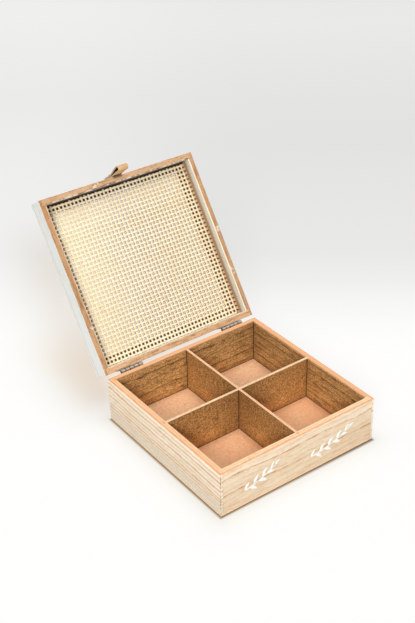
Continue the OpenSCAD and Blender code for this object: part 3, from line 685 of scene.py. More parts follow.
def lid_material(name, order, seed, raw_tones, wash_tones, arris_tones):
    """Thin off-white paint outside, raw wood on the rim, and inside a yellower wash that
    stops at bare_from; from glue_from on, the strands' ends show in the glue in
    end_tone, with painted shade dark between them, and on the front rail end_tone is near
    black, painted shade under the rail. The rim's inner edge has a line of paint, more or less
    dirty, and a painted shadow under the strap. The strips' undersides behind the cane are glue
    with painted shade, near black towards the front. The lid is read as if it were shut."""
    raw_pale, raw_tan = raw_tones
    wash_pale, wash_tan, bare_from, glue_from, end_tone = wash_tones
    arris_tone, arris_from, arris_dirt = arris_tones
    material, tree, surface = new_material(name)
    place, lie, board = place_in_mm(tree, order, closed)
    settings = {"Board": board, "Seed": seed, "Wander": 2.2}
    figure = put(tree, "ShaderNodeGroup", settings, node_tree=wood_figure).outputs
    across = calc(tree, "FRACT", calc(tree, "DIVIDE", calc(tree, "ADD", figure["Across"], 400.0), 30.0))
    ring = ramp(tree, across, ring_stops(lid_rings, 30.0, 0.7))
    ring = calc(tree, "MULTIPLY", ring, calc(tree, "MULTIPLY_ADD", figure["Breaks"], 0.75, 0.25))

    paint = tint(tree, figure["Cloud"], linear(232, 234, 232), linear(226, 228, 225))
    paint = tint(tree, calc(tree, "MULTIPLY", figure["Fibre"], 0.35), paint, linear(218, 217, 209))
    paint = tint(tree, calc(tree, "MULTIPLY", ring, 0.28), paint, linear(180, 164, 140))
    paint = tint(tree, calc(tree, "MULTIPLY", figure["Pores"], 0.22), paint, linear(184, 168, 146))
    x_size = calc(tree, "ABSOLUTE", lie["x"])
    y_size = calc(tree, "ABSOLUTE", lie["y"])
    z_up = lie["z"]
    strip_line = span(tree, calc(tree, "ABSOLUTE", calc(tree, "SUBTRACT", z_up, strip_height)), 0.1, 0.35, 0.7, 0.0)
    paint = tint(tree, strip_line, paint, linear(150, 128, 100))
    mitre_gap = calc(tree, "ABSOLUTE", calc(tree, "SUBTRACT", x_size, y_size))
    mitre_line = calc(tree, "MULTIPLY", span(tree, mitre_gap, 0.12, 0.4, 0.75, 0.0), span(tree, z_up, 73.0, 73.2))
    paint = tint(tree, mitre_line, paint, linear(142, 116, 86))
    lip_line = calc(tree, "ABSOLUTE", calc(tree, "SUBTRACT", x_size, lip_seam))
    lip_line = span(tree, lip_line, 0.12, 0.4, 0.6, 0.0)
    end_face = calc(tree, "MULTIPLY", span(tree, y_size, 99.6, 99.8), span(tree, z_up, 72.7, 72.9, 1.0, 0.0))
    paint = tint(tree, calc(tree, "MULTIPLY", lip_line, end_face), paint, linear(150, 128, 100))
    widest = calc(tree, "MAXIMUM", x_size, y_size)
    top_gap = calc(tree, "MAXIMUM", calc(tree, "SUBTRACT", half_box, widest), calc(tree, "SUBTRACT", 76.4, z_up))
    corner_gap = calc(tree, "SUBTRACT", half_box, calc(tree, "MINIMUM", x_size, y_size))
    rub = span(tree, noise(tree, place, (0.05, 0.05, 0.05), 5.0, 0.75), 0.46, 0.62)
    # Paint rubbed thin at the outer edges and corners.
    rub_wear_and_painted_shade = calc(tree, "MAXIMUM", span(tree, top_gap, 0.45, 1.1, 1.0, 0.0), span(tree, corner_gap, 0.45, 1.1, 1.0, 0.0))
    paint = tint(tree, calc(tree, "MULTIPLY", calc(tree, "MULTIPLY", rub_wear_and_painted_shade, rub), 0.4), paint, linear(206, 184, 156))

    wash = tint(tree, figure["Cloud"], wash_pale, wash_tan)
    wash = tint(tree, calc(tree, "MULTIPLY", figure["Fibre"], 0.4), wash, linear(238, 234, 224))
    wash = tint(tree, calc(tree, "MULTIPLY", ring, 0.45), wash, linear(180, 158, 130))
    grit = span(tree, noise(tree, place, (0.6, 0.6, 0.6), 3.0, 0.8), 0.5, 0.62)
    wash = tint(tree, calc(tree, "MULTIPLY", grit, 0.28), wash, linear(172, 160, 140))
    ragged = noise(tree, place, (0.45, 0.45, 0.3), 3.0, 0.7)
    bare = span(tree, calc(tree, "MULTIPLY_ADD", ragged, 5.0, z_up), bare_from + 2.5, bare_from + 6.5)
    wash = tint(tree, calc(tree, "MULTIPLY", bare, 0.9), wash, linear(158, 124, 92))
    # Near the cane the wash turns to glue, with painted shade dark between the strands' ends.
    to_cane = span(tree, calc(tree, "MULTIPLY_ADD", ragged, 4.0, z_up), glue_from, glue_from + 2.0)
    strand_end = calc(tree, "PINGPONG", crossings(tree, lie)[order[0]], 0.5)
    glue = tint(tree, span(tree, strand_end, 0.28, 0.4), end_tone, linear(24, 14, 8))
    wash = tint(tree, calc(tree, "MULTIPLY", to_cane, 0.92), wash, glue)

    raw = tint(tree, figure["Cloud"], raw_pale, raw_tan)
    raw = tint(tree, calc(tree, "MULTIPLY", figure["Fibre"], 0.45), raw, linear(226, 190, 150))
    raw = tint(tree, calc(tree, "MULTIPLY", figure["Streaks"], 0.85), raw, linear(146, 98, 58))
    raw = tint(tree, calc(tree, "MULTIPLY", figure["Pores"], 0.5), raw, linear(150, 104, 66))
    blotch = span(tree, noise(tree, place, (0.03, 0.03, 0.03), 3.0, 0.6), 0.5, 0.64)
    raw = tint(tree, calc(tree, "MULTIPLY", blotch, 0.4), raw, linear(170, 112, 58))
    raw = tint(tree, calc(tree, "MULTIPLY", grit, 0.4), raw, linear(150, 104, 66))
    smear = span(tree, noise(tree, place, (0.06, 0.06, 0.06), 3.0, 0.6), 0.62, 0.67)
    raw = tint(tree, calc(tree, "MULTIPLY", smear, 0.65), raw, linear(238, 226, 206))
    from_outside = calc(tree, "SUBTRACT", half_box, widest)
    arris = calc(tree, "MULTIPLY_ADD", figure["Fibre"], 0.5, from_outside)
    dirt = span(tree, noise(tree, place, (0.11, 0.11, 0.11), 3.0, 0.7), 0.42, 0.58)
    edge_paint = tint(tree, calc(tree, "MULTIPLY", dirt, arris_dirt), arris_tone, linear(98, 78, 62))
    raw = tint(tree, span(tree, arris, arris_from, arris_from + 0.4, 0.0, 0.9), raw, edge_paint)
    # Painted shadow of the strap's fold on the front rail's rim.
    painted_strap_shadow = span(tree, calc(tree, "ADD", x_size, figure["Fibre"]), 4.0, 8.0, 0.8, 0.0)
    painted_strap_shadow = calc(tree, "MULTIPLY", painted_strap_shadow, span(tree, lie["y"], -98.4, -96.8, 1.0, 0.0))
    raw = tint(tree, painted_strap_shadow, raw, linear(84, 56, 38))
    # Strips' undersides behind the cane: glue with painted shade, near black towards the front.
    glued = tint(tree, figure["Fibre"], linear(92, 50, 20), linear(112, 66, 30))
    glued = tint(tree, span(tree, lie["y"], -70.0, 60.0, 0.85, 0.0), glued, linear(16, 8, 4))

    in_x = span(tree, x_size, 93.05, 93.25, 1.0, 0.0)
    in_y = span(tree, y_size, 93.05, 93.25, 1.0, 0.0)
    is_inside = calc(tree, "MULTIPLY", in_x, in_y)
    colour = tint(tree, calc(tree, "MULTIPLY", is_inside, span(tree, z_up, 72.7, 72.9, 1.0, 0.0)), paint, wash)
    behind = calc(tree, "MULTIPLY", is_inside, span(tree, z_up, 72.7, 72.9))
    behind = calc(tree, "MULTIPLY", behind, span(tree, z_up, 72.95, 73.1, 1.0, 0.0))
    colour = tint(tree, behind, colour, glued)
    rim_edge = calc(tree, "MULTIPLY_ADD", figure["Fibre"], -0.4, z_up)
    colour = tint(tree, span(tree, rim_edge, 54.5, 54.7, 1.0, 0.0), colour, raw)

    relief = calc(tree, "MULTIPLY_ADD", ring, -0.4, figure["Relief"])
    bump = put(tree, "ShaderNodeBump", {"Strength": 0.5, "Distance": 0.0004, "Height": relief})
    gloss = span(tree, figure["Fibre"], 0.0, 1.0, 0.66, 0.5)
    shader = put(tree, "ShaderNodeBsdfPrincipled", {
        "Base Color": colour, "Roughness": gloss, "Specular IOR Level": 0.4,
        "Normal": bump.outputs[0],
    })
    tree.links.new(shader.outputs[0], surface)
    return material


rail_tan = (linear(208, 168, 128), linear(194, 150, 110))
pale_rail_tan = (linear(220, 176, 132), linear(208, 162, 116))
dark_rail_tan = (linear(188, 140, 94), linear(168, 122, 78))
cool_wash = (linear(218, 212, 198), linear(204, 198, 182), 60.0, 68.6, linear(226, 190, 148))
# Front rail: its inner face turns near black by the cane, painted shade under the rail.
gluey_wash = (linear(218, 212, 198), linear(204, 198, 182), 54.0, 59.0, linear(44, 28, 17))
# Back rail: a paler, warmer wash, partly paint tone and partly painted light for a face turned up.
warm_lit_wash = (linear(255, 247, 234), linear(250, 237, 219), 80.0, 72.4, linear(190, 148, 108))
dirty_arris = (linear(220, 210, 192), 5.7, 0.95)
dull_arris = (linear(238, 222, 198), 6.5, 0.15)
worn_arris = (linear(236, 214, 184), 6.0, 0.3)
white_arris = (linear(244, 238, 220), 5.6, 0.1)
for node, order, seed, raw_tones, wash_tones, arris_tones in (
    ("lid_front_rail", "xyz", 11.0, rail_tan, gluey_wash, dirty_arris),
    ("lid_back_rail", "xyz", 12.0, pale_rail_tan, warm_lit_wash, dull_arris),
    ("lid_left_rail", "yxz", 13.0, dark_rail_tan, cool_wash, worn_arris),
    ("lid_right_rail", "yxz", 14.0, dark_rail_tan, cool_wash, white_arris),
    ("lid_front_top_strip", "xzy", 15.0, rail_tan, cool_wash, white_arris),
    ("lid_back_top_strip", "xzy", 16.0, rail_tan, cool_wash, white_arris),
    ("lid_left_top_strip", "yzx", 17.0, rail_tan, cool_wash, white_arris),
    ("lid_right_top_strip", "yzx", 18.0, rail_tan, cool_wash, white_arris),
):
    dress(node, lid_material(node + "_board", order, seed, raw_tones, wash_tones, arris_tones))


# Painted sprigs. Two sprays of leaves brushed on the front board through a stencil, in
# thick white paint that leaves the wood's deepest pores bare.
paint_material, tree, surface = new_material("brushed_white_paint")
place, lie, board = place_in_mm(tree)
settings = {"Board": board, "Seed": 1.0, "Wander": 3.1}
figure = put(tree, "ShaderNodeGroup", settings, node_tree=wood_figure).outputs
bristle = span(tree, noise(tree, place, (1.2, 1.2, 2.6), 3.0, 0.6), 0.3, 0.7)
white = tint(tree, bristle, linear(255, 254, 251), linear(247, 243, 236))
white = tint(tree, calc(tree, "MULTIPLY", figure["Pores"], 0.3), white, linear(226, 204, 174))
relief = calc(tree, "MULTIPLY_ADD", bristle, 0.6, figure["Relief"])
bump = put(tree, "ShaderNodeBump", {"Strength": 0.3, "Distance": 0.0002, "Height": relief})
shader = put(tree, "ShaderNodeBsdfPrincipled", {
    "Base Color": white, "Roughness": span(tree, bristle, 0.0, 1.0, 0.42, 0.56),
    "Specular IOR Level": 0.4, "Normal": bump.outputs[0],
})
tree.links.new(shader.outputs[0], surface)


def sprig_tree(name):
    """A node tree that lays out a flat sprig: a bent stem, and leaves on both its sides."""
    tree = bpy.data.node_groups.new(name, "GeometryNodeTree")
    sizes = {}
    tree.interface.new_socket("Geometry", in_out="INPUT", socket_type="NodeSocketGeometry")
    for label, kind in (
        ("Stem Start", "NodeSocketVector"), ("Stem Bend", "NodeSocketVector"),
        ("Stem End", "NodeSocketVector"), ("Stem Width", NUMBER), ("Leaves", "NodeSocketInt"),
        ("Leaf Length", NUMBER), ("Leaf Width", NUMBER), ("Spread", NUMBER),
        ("Paint Thickness", NUMBER), ("Seed", "NodeSocketInt"), ("Paint", "NodeSocketMaterial"),
    ):
        sizes[label] = tree.interface.new_socket(label, in_out="INPUT", socket_type=kind).identifier
    tree.interface.new_socket("Geometry", in_out="OUTPUT", socket_type="NodeSocketGeometry")
    taken = put(tree, "NodeGroupInput").outputs
    given = put(tree, "NodeGroupOutput").inputs
    share = put(tree, "GeometryNodeSplineParameter").outputs[0]

    stem = put(tree, "GeometryNodeCurveQuadraticBezier", {
        0: 24, 1: taken["Stem Start"], 2: taken["Stem Bend"], 3: taken["Stem End"],
    })
    stem_profile = put(tree, "GeometryNodeCurvePrimitiveQuadrilateral", {
        0: taken["Stem Width"], 1: taken["Paint Thickness"],
    }, mode="RECTANGLE")
    level = put(tree, "GeometryNodeSetCurveNormal", {0: stem.outputs[0]}, mode="Z_UP")
    stem_mesh = put(tree, "GeometryNodeCurveToMesh", {
        0: level.outputs[0], 1: stem_profile.outputs[0],
        "Scale": calc(tree, "MULTIPLY_ADD", share, -0.5, 1.0), "Fill Caps": True,
    })

    tip = put(tree, "ShaderNodeCombineXYZ", {0: taken["Leaf Length"]}).outputs[0]
    belly = put(tree, "ShaderNodeCombineXYZ", {
        0: calc(tree, "MULTIPLY", taken["Leaf Length"], 0.5),
        1: calc(tree, "MULTIPLY", taken["Leaf Length"], 0.16),
    }).outputs[0]
    leaf_line = put(tree, "GeometryNodeCurveQuadraticBezier", {0: 11, 2: belly, 3: tip})
    leaf_line.inputs[1].default_value = (0, 0, 0)
    leaf_line = put(tree, "GeometryNodeSetCurveNormal", {0: leaf_line.outputs[0]}, mode="Z_UP")
    leaf_profile = put(tree, "GeometryNodeCurvePrimitiveQuadrilateral", {
        0: taken["Leaf Width"], 1: taken["Paint Thickness"],
    }, mode="RECTANGLE")
    fullness = calc(tree, "SINE", calc(tree, "MULTIPLY", calc(tree, "POWER", share, 0.8), math.pi))
    fullness = calc(tree, "POWER", calc(tree, "MAXIMUM", fullness, 0.0), 0.75)
    leaf = put(tree, "GeometryNodeCurveToMesh", {
        0: leaf_line.outputs[0], 1: leaf_profile.outputs[0],
        "Scale": calc(tree, "MULTIPLY_ADD", fullness, 0.92, 0.08), "Fill Caps": True,
    })

    spots = put(tree, "GeometryNodeCurveToPoints", {0: stem.outputs[0], "Count": taken["Leaves"]}, mode="COUNT")
    number = put(tree, "GeometryNodeInputIndex").outputs[0]
    last = calc(tree, "SUBTRACT", taken["Leaves"], 1.0)
    up_stem = calc(tree, "DIVIDE", number, last)
    sides = calc(tree, "MULTIPLY_ADD", calc(tree, "MODULO", number, 2.0), -2.0, 1.0)
    sides = calc(tree, "MULTIPLY", sides, calc(tree, "LESS_THAN", number, last))
    heading = put(tree, "ShaderNodeSeparateXYZ", {0: spots.outputs[1]}).outputs
    heading = calc(tree, "ARCTAN2", heading[1], heading[0])
    lean = calc(tree, "MULTIPLY", taken["Spread"], calc(tree, "MULTIPLY_ADD", up_stem, -0.35, 1.0))
    turned = calc(tree, "MULTIPLY_ADD", sides, lean, heading)
    chance = put(tree, "FunctionNodeRandomValue", {
        2: 0.92, 3: 1.08, "ID": number, "Seed": taken["Seed"],
    }, data_type="FLOAT")
    size = calc(tree, "SINE", calc(tree, "MULTIPLY_ADD", up_stem, 2.2, 0.7))
    size = calc(tree, "MULTIPLY", calc(tree, "MULTIPLY_ADD", size, 0.5, 0.5), chance.outputs[1])
    flip = calc(tree, "MULTIPLY_ADD", calc(tree, "MODULO", number, 2.0), -2.0, 1.0)
    placed = put(tree, "GeometryNodeInstanceOnPoints", {
        0: spots.outputs[0], "Instance": leaf.outputs[0],
        "Rotation": put(tree, "ShaderNodeCombineXYZ", {2: turned}).outputs[0],
        "Scale": put(tree, "ShaderNodeCombineXYZ", {0: size, 1: size, 2: 1.0}).outputs[0],
    })
    joined = put(tree, "GeometryNodeJoinGeometry", {0: stem_mesh.outputs[0]})
    tree.links.new(placed.outputs[0], joined.inputs[0])
    real = put(tree, "GeometryNodeRealizeInstances", {0: joined.outputs[0]})
    done = put(tree, "GeometryNodeSetMaterial", {0: real.outputs[0], "Material": taken["Paint"]})
    tree.links.new(done.outputs[0], given[0])
    return tree, sizes


def grown(name, start, tree, sizes, values):
    """The plain mesh that a node tree makes of an object, with its named inputs set."""
    modifier = start.modifiers.new(name, "NODES")
    modifier.node_group = tree
    for label, value in values.items():
        modifier[sizes[label]] = value
    bpy.context.view_layer.update()
    evaluated = start.evaluated_get(bpy.context.evaluated_depsgraph_get())
    mesh = bpy.data.meshes.new_from_object(evaluated)
    mesh.name = name
    start.modifiers.remove(modifier)
    return mesh


sprig, sprig_sizes = sprig_tree("sprig")
for name, start, bend, end, leaves, seed in (
    ("left_sprig", (-70, 19, 0), (-50, 22, 0), (-32, 33, 0), 8, 3),
    ("right_sprig", (15, 19, 0), (42, 20, 0), (66, 33, 0), 10, 5),
):
    sprig_start = bpy.data.objects.new("sprig_start", bpy.data.meshes.new("sprig_start"))
    bpy.context.scene.collection.objects.link(sprig_start)
    sprig_mesh = grown(name, sprig_start, sprig, sprig_sizes, {
        "Stem Start": Vector(start) / 1000, "Stem Bend": Vector(bend) / 1000,
        "Stem End": Vector(end) / 1000, "Stem Width": 0.0013, "Leaves": leaves,
        "Leaf Length": 0.0112, "Leaf Width": 0.004, "Spread": math.radians(48),
        "Paint Thickness": 0.00016, "Seed": seed, "Paint": paint_material,
    })
    bpy.data.objects.remove(sprig_start)
    sprig_mesh.transform(Matrix.Translation((0, -half_box / 1000, 0)) @ Matrix.Rotation(math.pi / 2, 4, "X"))
    painted_sprig = bpy.data.objects.new(name, sprig_mesh)
    bpy.context.scene.collection.objects.link(painted_sprig)
    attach(painted_sprig, "base")


# Cane panel. Open square webbing of split cane, flat strands woven over and under one
# another, glued and pinned behind the top strips.
cane_middle = strip_height - 0.7
strands_x = 39
strands_y = 38
strand_width = 3.35
strand_thickness = 0.7
weave_wave = 0.35

cane_material, tree, surface = new_material("split_cane")
place, lie, board = place_in_mm(tree, "xyz", closed)
strand = put(tree, "ShaderNodeAttribute", attribute_name="strand").outputs["Fac"]
run = put(tree, "ShaderNodeAttribute", attribute_name="run").outputs["Fac"]
along_x = put(tree, "ShaderNodeCombineXYZ", {0: lie["x"], 1: lie["y"], 2: calc(tree, "MULTIPLY", strand, 90.0)})
along_y = put(tree, "ShaderNodeCombineXYZ", {0: lie["y"], 1: lie["x"], 2: calc(tree, "MULTIPLY", strand, 90.0)})
lay = put(tree, "ShaderNodeMix", {0: run, 4: along_x.outputs[0], 5: along_y.outputs[0]}, data_type="VECTOR")
lay = lay.outputs[1]
streak = span(tree, noise(tree, lay, (0.05, 2.6, 0.3), 3.0, 0.6), 0.3, 0.7)
patch = span(tree, noise(tree, lay, (0.045, 0.02, 0.35), 3.0, 0.6), 0.36, 0.68)
knot = span(tree, noise(tree, lay, (0.09, 0.05, 0.9), 1.0, 0.5), 0.68, 0.76)
cane = tint(tree, patch, linear(255, 250, 231), linear(254, 239, 210))
cane = tint(tree, calc(tree, "MULTIPLY", span(tree, strand, 0.0, 1.0), 0.4), cane, linear(250, 230, 190))
cane = tint(tree, calc(tree, "MULTIPLY", run, 0.35), cane, linear(250, 224, 186))
cane = tint(tree, calc(tree, "MULTIPLY", streak, 0.3), cane, linear(232, 198, 146))
cane = tint(tree, calc(tree, "MULTIPLY", knot, 0.4), cane, linear(226, 178, 118))
facing = put(tree, "ShaderNodeTexCoord").outputs["Normal"]
lid_up = (0, math.sin(close_turn), math.cos(close_turn))
facing = put(tree, "ShaderNodeVectorMath", {0: facing, 1: lid_up}, operation="DOT_PRODUCT")
facing = calc(tree, "ABSOLUTE", facing.outputs["Value"])
crossing = crossings(tree, lie)
from_crossing = put(tree, "ShaderNodeMix", {0: run, 2: crossing["x"], 3: crossing["y"]}).outputs[0]
# Painted shade on the strands' edges round the holes; near the border, near black, as shaded wood.
at_hole = span(tree, calc(tree, "PINGPONG", from_crossing, 0.5), 0.22, 0.36, 0.3, 1.0)
painted_edge_shade = calc(tree, "MULTIPLY", span(tree, facing, 0.925, 0.96, 1.0, 0.0), at_hole)
outermost = calc(tree, "MAXIMUM", calc(tree, "ABSOLUTE", lie["x"]), calc(tree, "ABSOLUTE", lie["y"]))
painted_border_shade = span(tree, outermost, 81.5, 84.0)
edge_colour = tint(tree, painted_border_shade, linear(132, 80, 22), linear(60, 32, 12))
# Painted light: the edge shade is weaker towards the lit upper left and by the front rail.
sunny = calc(tree, "MULTIPLY_ADD", lie["y"], 0.15, lie["x"])
shown = calc(tree, "MULTIPLY", span(tree, sunny, -95.0, 20.0, 0.37, 1.0), span(tree, lie["y"], -88.0, -45.0, 0.5, 1.0))
shown = calc(tree, "MAXIMUM", shown, painted_border_shade)
# Painted light: strands warmer towards the left, where the light falls, and darker towards the right.
cane = tint(tree, span(tree, lie["x"], -90.0, 0.0, 0.3, 0.06), cane, linear(252, 224, 160))
cane = tint(tree, span(tree, lie["x"], -30.0, 80.0), cane, (0.992, 0.974, 0.912, 1), "MULTIPLY")
cane = tint(tree, calc(tree, "MULTIPLY", painted_edge_shade, shown), cane, edge_colour)
# Painted shade on the strands' sides, weaker on the lit upper left.
painted_side_shade = calc(tree, "MULTIPLY", span(tree, facing, 0.45, 0.75, 1.0, 0.0), span(tree, sunny, -90.0, -10.0, 0.5, 0.96))
cane = tint(tree, painted_side_shade, cane, linear(80, 42, 8))
bump = put(tree, "ShaderNodeBump", {"Strength": 0.4, "Distance": 0.0001, "Height": streak})
shader = put(tree, "ShaderNodeBsdfPrincipled", {
    "Base Color": cane, "Roughness": span(tree, streak, 0.0, 1.0, 0.38, 0.52),
    "Specular IOR Level": 0.5, "Normal": bump.outputs[0],
})
tree.links.new(shader.outputs[0], surface)


def net_tree(name):
    """A node tree that weaves flat strands over and under one another in one plane."""
    tree = bpy.data.node_groups.new(name, "GeometryNodeTree")
    sizes = {}
    tree.interface.new_socket("Geometry", in_out="INPUT", socket_type="NodeSocketGeometry")
    for label, kind in (
        ("Strands Along X", "NodeSocketInt"), ("Strands Along Y", "NodeSocketInt"),
        ("Pitch X", NUMBER), ("Pitch Y", NUMBER), ("Shift Y", NUMBER), ("Half Length", NUMBER),
        ("Strand Width", NUMBER), ("Strand Thickness", NUMBER), ("Wave", NUMBER), ("Shortest", NUMBER),
        ("Seed", "NodeSocketInt"), ("Cane", "NodeSocketMaterial"),
    ):
        sizes[label] = tree.interface.new_socket(label, in_out="INPUT", socket_type=kind).identifier
    tree.interface.new_socket("Geometry", in_out="OUTPUT", socket_type="NodeSocketGeometry")
    taken = put(tree, "NodeGroupInput").outputs
    given = put(tree, "NodeGroupOutput").inputs

    place = put(tree, "ShaderNodeSeparateXYZ", {0: put(tree, "GeometryNodeInputPosition").outputs[0]}).outputs

    def turn_of(value, count, pitch):
        """Half a turn for each pitch, counted from the first strand."""
        first = calc(tree, "MULTIPLY", calc(tree, "SUBTRACT", count, 1.0), 0.5)
        steps = calc(tree, "ADD", calc(tree, "DIVIDE", value, pitch), first)
        return calc(tree, "COSINE", calc(tree, "MULTIPLY", steps, math.pi))

    over_x = turn_of(place[0], taken["Strands Along Y"], taken["Pitch X"])
    centred = calc(tree, "SUBTRACT", place[1], taken["Shift Y"])
    over_y = turn_of(centred, taken["Strands Along X"], taken["Pitch Y"])
    over = calc(tree, "MULTIPLY", calc(tree, "MULTIPLY", over_x, over_y), taken["Wave"])
    profile = put(tree, "GeometryNodeCurvePrimitiveQuadrilateral", {
        0: taken["Strand Width"], 1: taken["Strand Thickness"],
    }, mode="RECTANGLE")
    corner = calc(tree, "MULTIPLY", taken["Strand Thickness"], 0.46)
    profile = put(tree, "GeometryNodeFilletCurve", {0: profile.outputs[0], "Radius": corner, "Count": 1}, mode="POLY")
    joined = put(tree, "GeometryNodeJoinGeometry")
    for run_value, count, pitch, crossings, crossing_pitch, over_sign in (
        (0.0, "Strands Along X", "Pitch Y", "Strands Along Y", "Pitch X", 1.0),
        (1.0, "Strands Along Y", "Pitch X", "Strands Along X", "Pitch Y", -1.0),
    ):
        end = taken["Half Length"]
        start = calc(tree, "MULTIPLY", end, -1.0)
        first = calc(tree, "MULTIPLY", calc(tree, "SUBTRACT", taken[count], 1.0), -0.5)
        first = calc(tree, "MULTIPLY", first, taken[pitch])
        if run_value == 0:
            first = calc(tree, "ADD", first, taken["Shift Y"])
        near = {0: start, 1: first} if run_value == 0 else {0: first, 1: start}
        far = {0: end, 1: first} if run_value == 0 else {0: first, 1: end}
        step = {1: taken[pitch]} if run_value == 0 else {0: taken[pitch]}
        near = put(tree, "ShaderNodeCombineXYZ", near).outputs[0]
        far = put(tree, "ShaderNodeCombineXYZ", far).outputs[0]
        step = put(tree, "ShaderNodeCombineXYZ", step).outputs[0]
        line = put(tree, "GeometryNodeCurvePrimitiveLine", {"Start": near, "End": far})
        samples = calc(tree, "MULTIPLY", taken[crossings], 4.0)
        line = put(tree, "GeometryNodeResampleCurve", {0: line.outputs[0], "Count": samples})
        row = put(tree, "GeometryNodeMeshLine", {"Count": taken[count], "Offset": step})
        trim = put(tree, "FunctionNodeRandomValue", {
            "ID": put(tree, "GeometryNodeInputIndex").outputs[0],
            "Seed": calc(tree, "ADD", taken["Seed"], run_value + 7),
        }, data_type="FLOAT")
        tree.links.new(taken["Shortest"], trim.inputs[2])
        trimmed = {0: 1.0, 1: 1.0, 2: 1.0, int(run_value): trim.outputs[1]}
        laid = put(tree, "GeometryNodeInstanceOnPoints", {
            0: row.outputs[0], "Instance": line.outputs[0],
            "Scale": put(tree, "ShaderNodeCombineXYZ", trimmed).outputs[0],
        })
        real = put(tree, "GeometryNodeRealizeInstances", {0: laid.outputs[0]})
        lift = put(tree, "ShaderNodeCombineXYZ", {2: calc(tree, "MULTIPLY", over, over_sign)})
        woven = put(tree, "GeometryNodeSetPosition", {0: real.outputs[0], "Offset": lift.outputs[0]})
        level = put(tree, "GeometryNodeSetCurveNormal", {0: woven.outputs[0]}, mode="Z_UP")
        chance = put(tree, "FunctionNodeRandomValue", {
            "ID": put(tree, "GeometryNodeInputIndex").outputs[0],
            "Seed": calc(tree, "ADD", taken["Seed"], run_value),
        }, data_type="FLOAT")
        marked = put(tree, "GeometryNodeStoreNamedAttribute", {
            0: level.outputs[0], "Name": "strand", "Value": chance.outputs[1],
        }, data_type="FLOAT", domain="CURVE")
        marked = put(tree, "GeometryNodeStoreNamedAttribute", {
            0: marked.outputs[0], "Name": "run", "Value": run_value,
        }, data_type="FLOAT", domain="CURVE")
        swept = put(tree, "GeometryNodeCurveToMesh", {
            0: marked.outputs[0], 1: profile.outputs[0], "Fill Caps": True,
        })
        tree.links.new(swept.outputs[0], joined.inputs[0])
    real = put(tree, "GeometryNodeRealizeInstances", {0: joined.outputs[0]})
    done = put(tree, "GeometryNodeSetMaterial", {0: real.outputs[0], "Material": taken["Cane"]})
    tree.links.new(done.outputs[0], given[0])
    return tree, sizes


net, net_sizes = net_tree("weave")
net_start = bpy.data.objects.new("weave_start", bpy.data.meshes.new("weave_start"))
bpy.context.scene.collection.objects.link(net_start)
net_mesh = grown("cane_webbing", net_start, net, net_sizes, {
    "Strands Along X": strands_y, "Strands Along Y": strands_x,
    "Pitch X": cane_pitch_x / 1000, "Pitch Y": cane_pitch_y / 1000,
    "Shift Y": cane_shift_y / 1000, "Half Length": 0.0925, "Shortest": 0.982,
    "Strand Width": strand_width / 1000, "Strand Thickness": strand_thickness / 1000,
    "Wave": weave_wave / 1000, "Seed": 4, "Cane": cane_material,
})
bpy.data.objects.remove(net_start)
swing_open = (
    Matrix.Translation(hinge_pin_place)
    @ Matrix.Rotation(-close_turn, 4, "X")
    @ Matrix.Translation(-hinge_pin_place)
)
net_mesh.transform(swing_open @ Matrix.Translation((0, 0, cane_middle / 1000)))
net_mesh.shade_smooth()
cane_webbing = bpy.data.objects.new("cane_webbing", net_mesh)
bpy.context.scene.collection.objects.link(cane_webbing)
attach(cane_webbing, "lid")
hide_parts("cane_panel")


# Pull tab. A strap of tan vegetable-tanned leather, folded double; its legs lie together
# where the stud holds them and part below it. The cut edges are left raw; inside the fold and
# where the inner leg meets the rail's rim it is darkened with painted shade.
strap_width = 12.5
strap_thickness = 1.7
strap_top = 20.0
strap_part = 9.0
inner_swing = 1.8
outer_swing = 4.9
fold_out = (inner_swing + 2 * strap_thickness + outer_swing) / 2
fold_radius = fold_out - inner_swing - strap_thickness / 2
fold_height = -20.0 + fold_radius + strap_thickness / 2

leather_material, tree, surface = new_material("tan_leather")
place, lie, board = place_in_mm(tree, "xyz", closed)
cut = put(tree, "ShaderNodeAttribute", attribute_name="cut").outputs["Fac"]
flesh_side = put(tree, "ShaderNodeAttribute", attribute_name="flesh_side").outputs["Fac"]
pebble = put(tree, "ShaderNodeTexVoronoi", {"Vector": place, "Scale": 1.5}, feature="SMOOTH_F1").outputs[0]
crease = noise(tree, place, (0.35, 0.35, 0.35), 4.0, 0.6, 0.8)
shade = span(tree, noise(tree, place, (0.09, 0.09, 0.09), 3.0, 0.6), 0.35, 0.66)
hide = tint(tree, shade, linear(228, 188, 140), linear(212, 168, 118))
hide = tint(tree, calc(tree, "MULTIPLY", span(tree, crease, 0.5, 0.7), 0.4), hide, linear(178, 130, 84))
hide = tint(tree, calc(tree, "MULTIPLY", span(tree, pebble, 0.3, 0.7), 0.25), hide, linear(196, 150, 102))
layers = span(tree, noise(tree, place, (0.5, 2.2, 2.2), 3.0, 0.6), 0.35, 0.65)
raw_edge = tint(tree, layers, linear(212, 186, 152), linear(166, 136, 102))
# Painted shade where the strap's inner leg meets the rail's rim.
rub_wear_and_painted_shade = span(tree, calc(tree, "MULTIPLY_ADD", crease, 3.0, lie["z"]), 50.5, 54.5)
rub_wear_and_painted_shade = calc(tree, "MULTIPLY", rub_wear_and_painted_shade, span(tree, lie["y"], -102.2, -101.2))
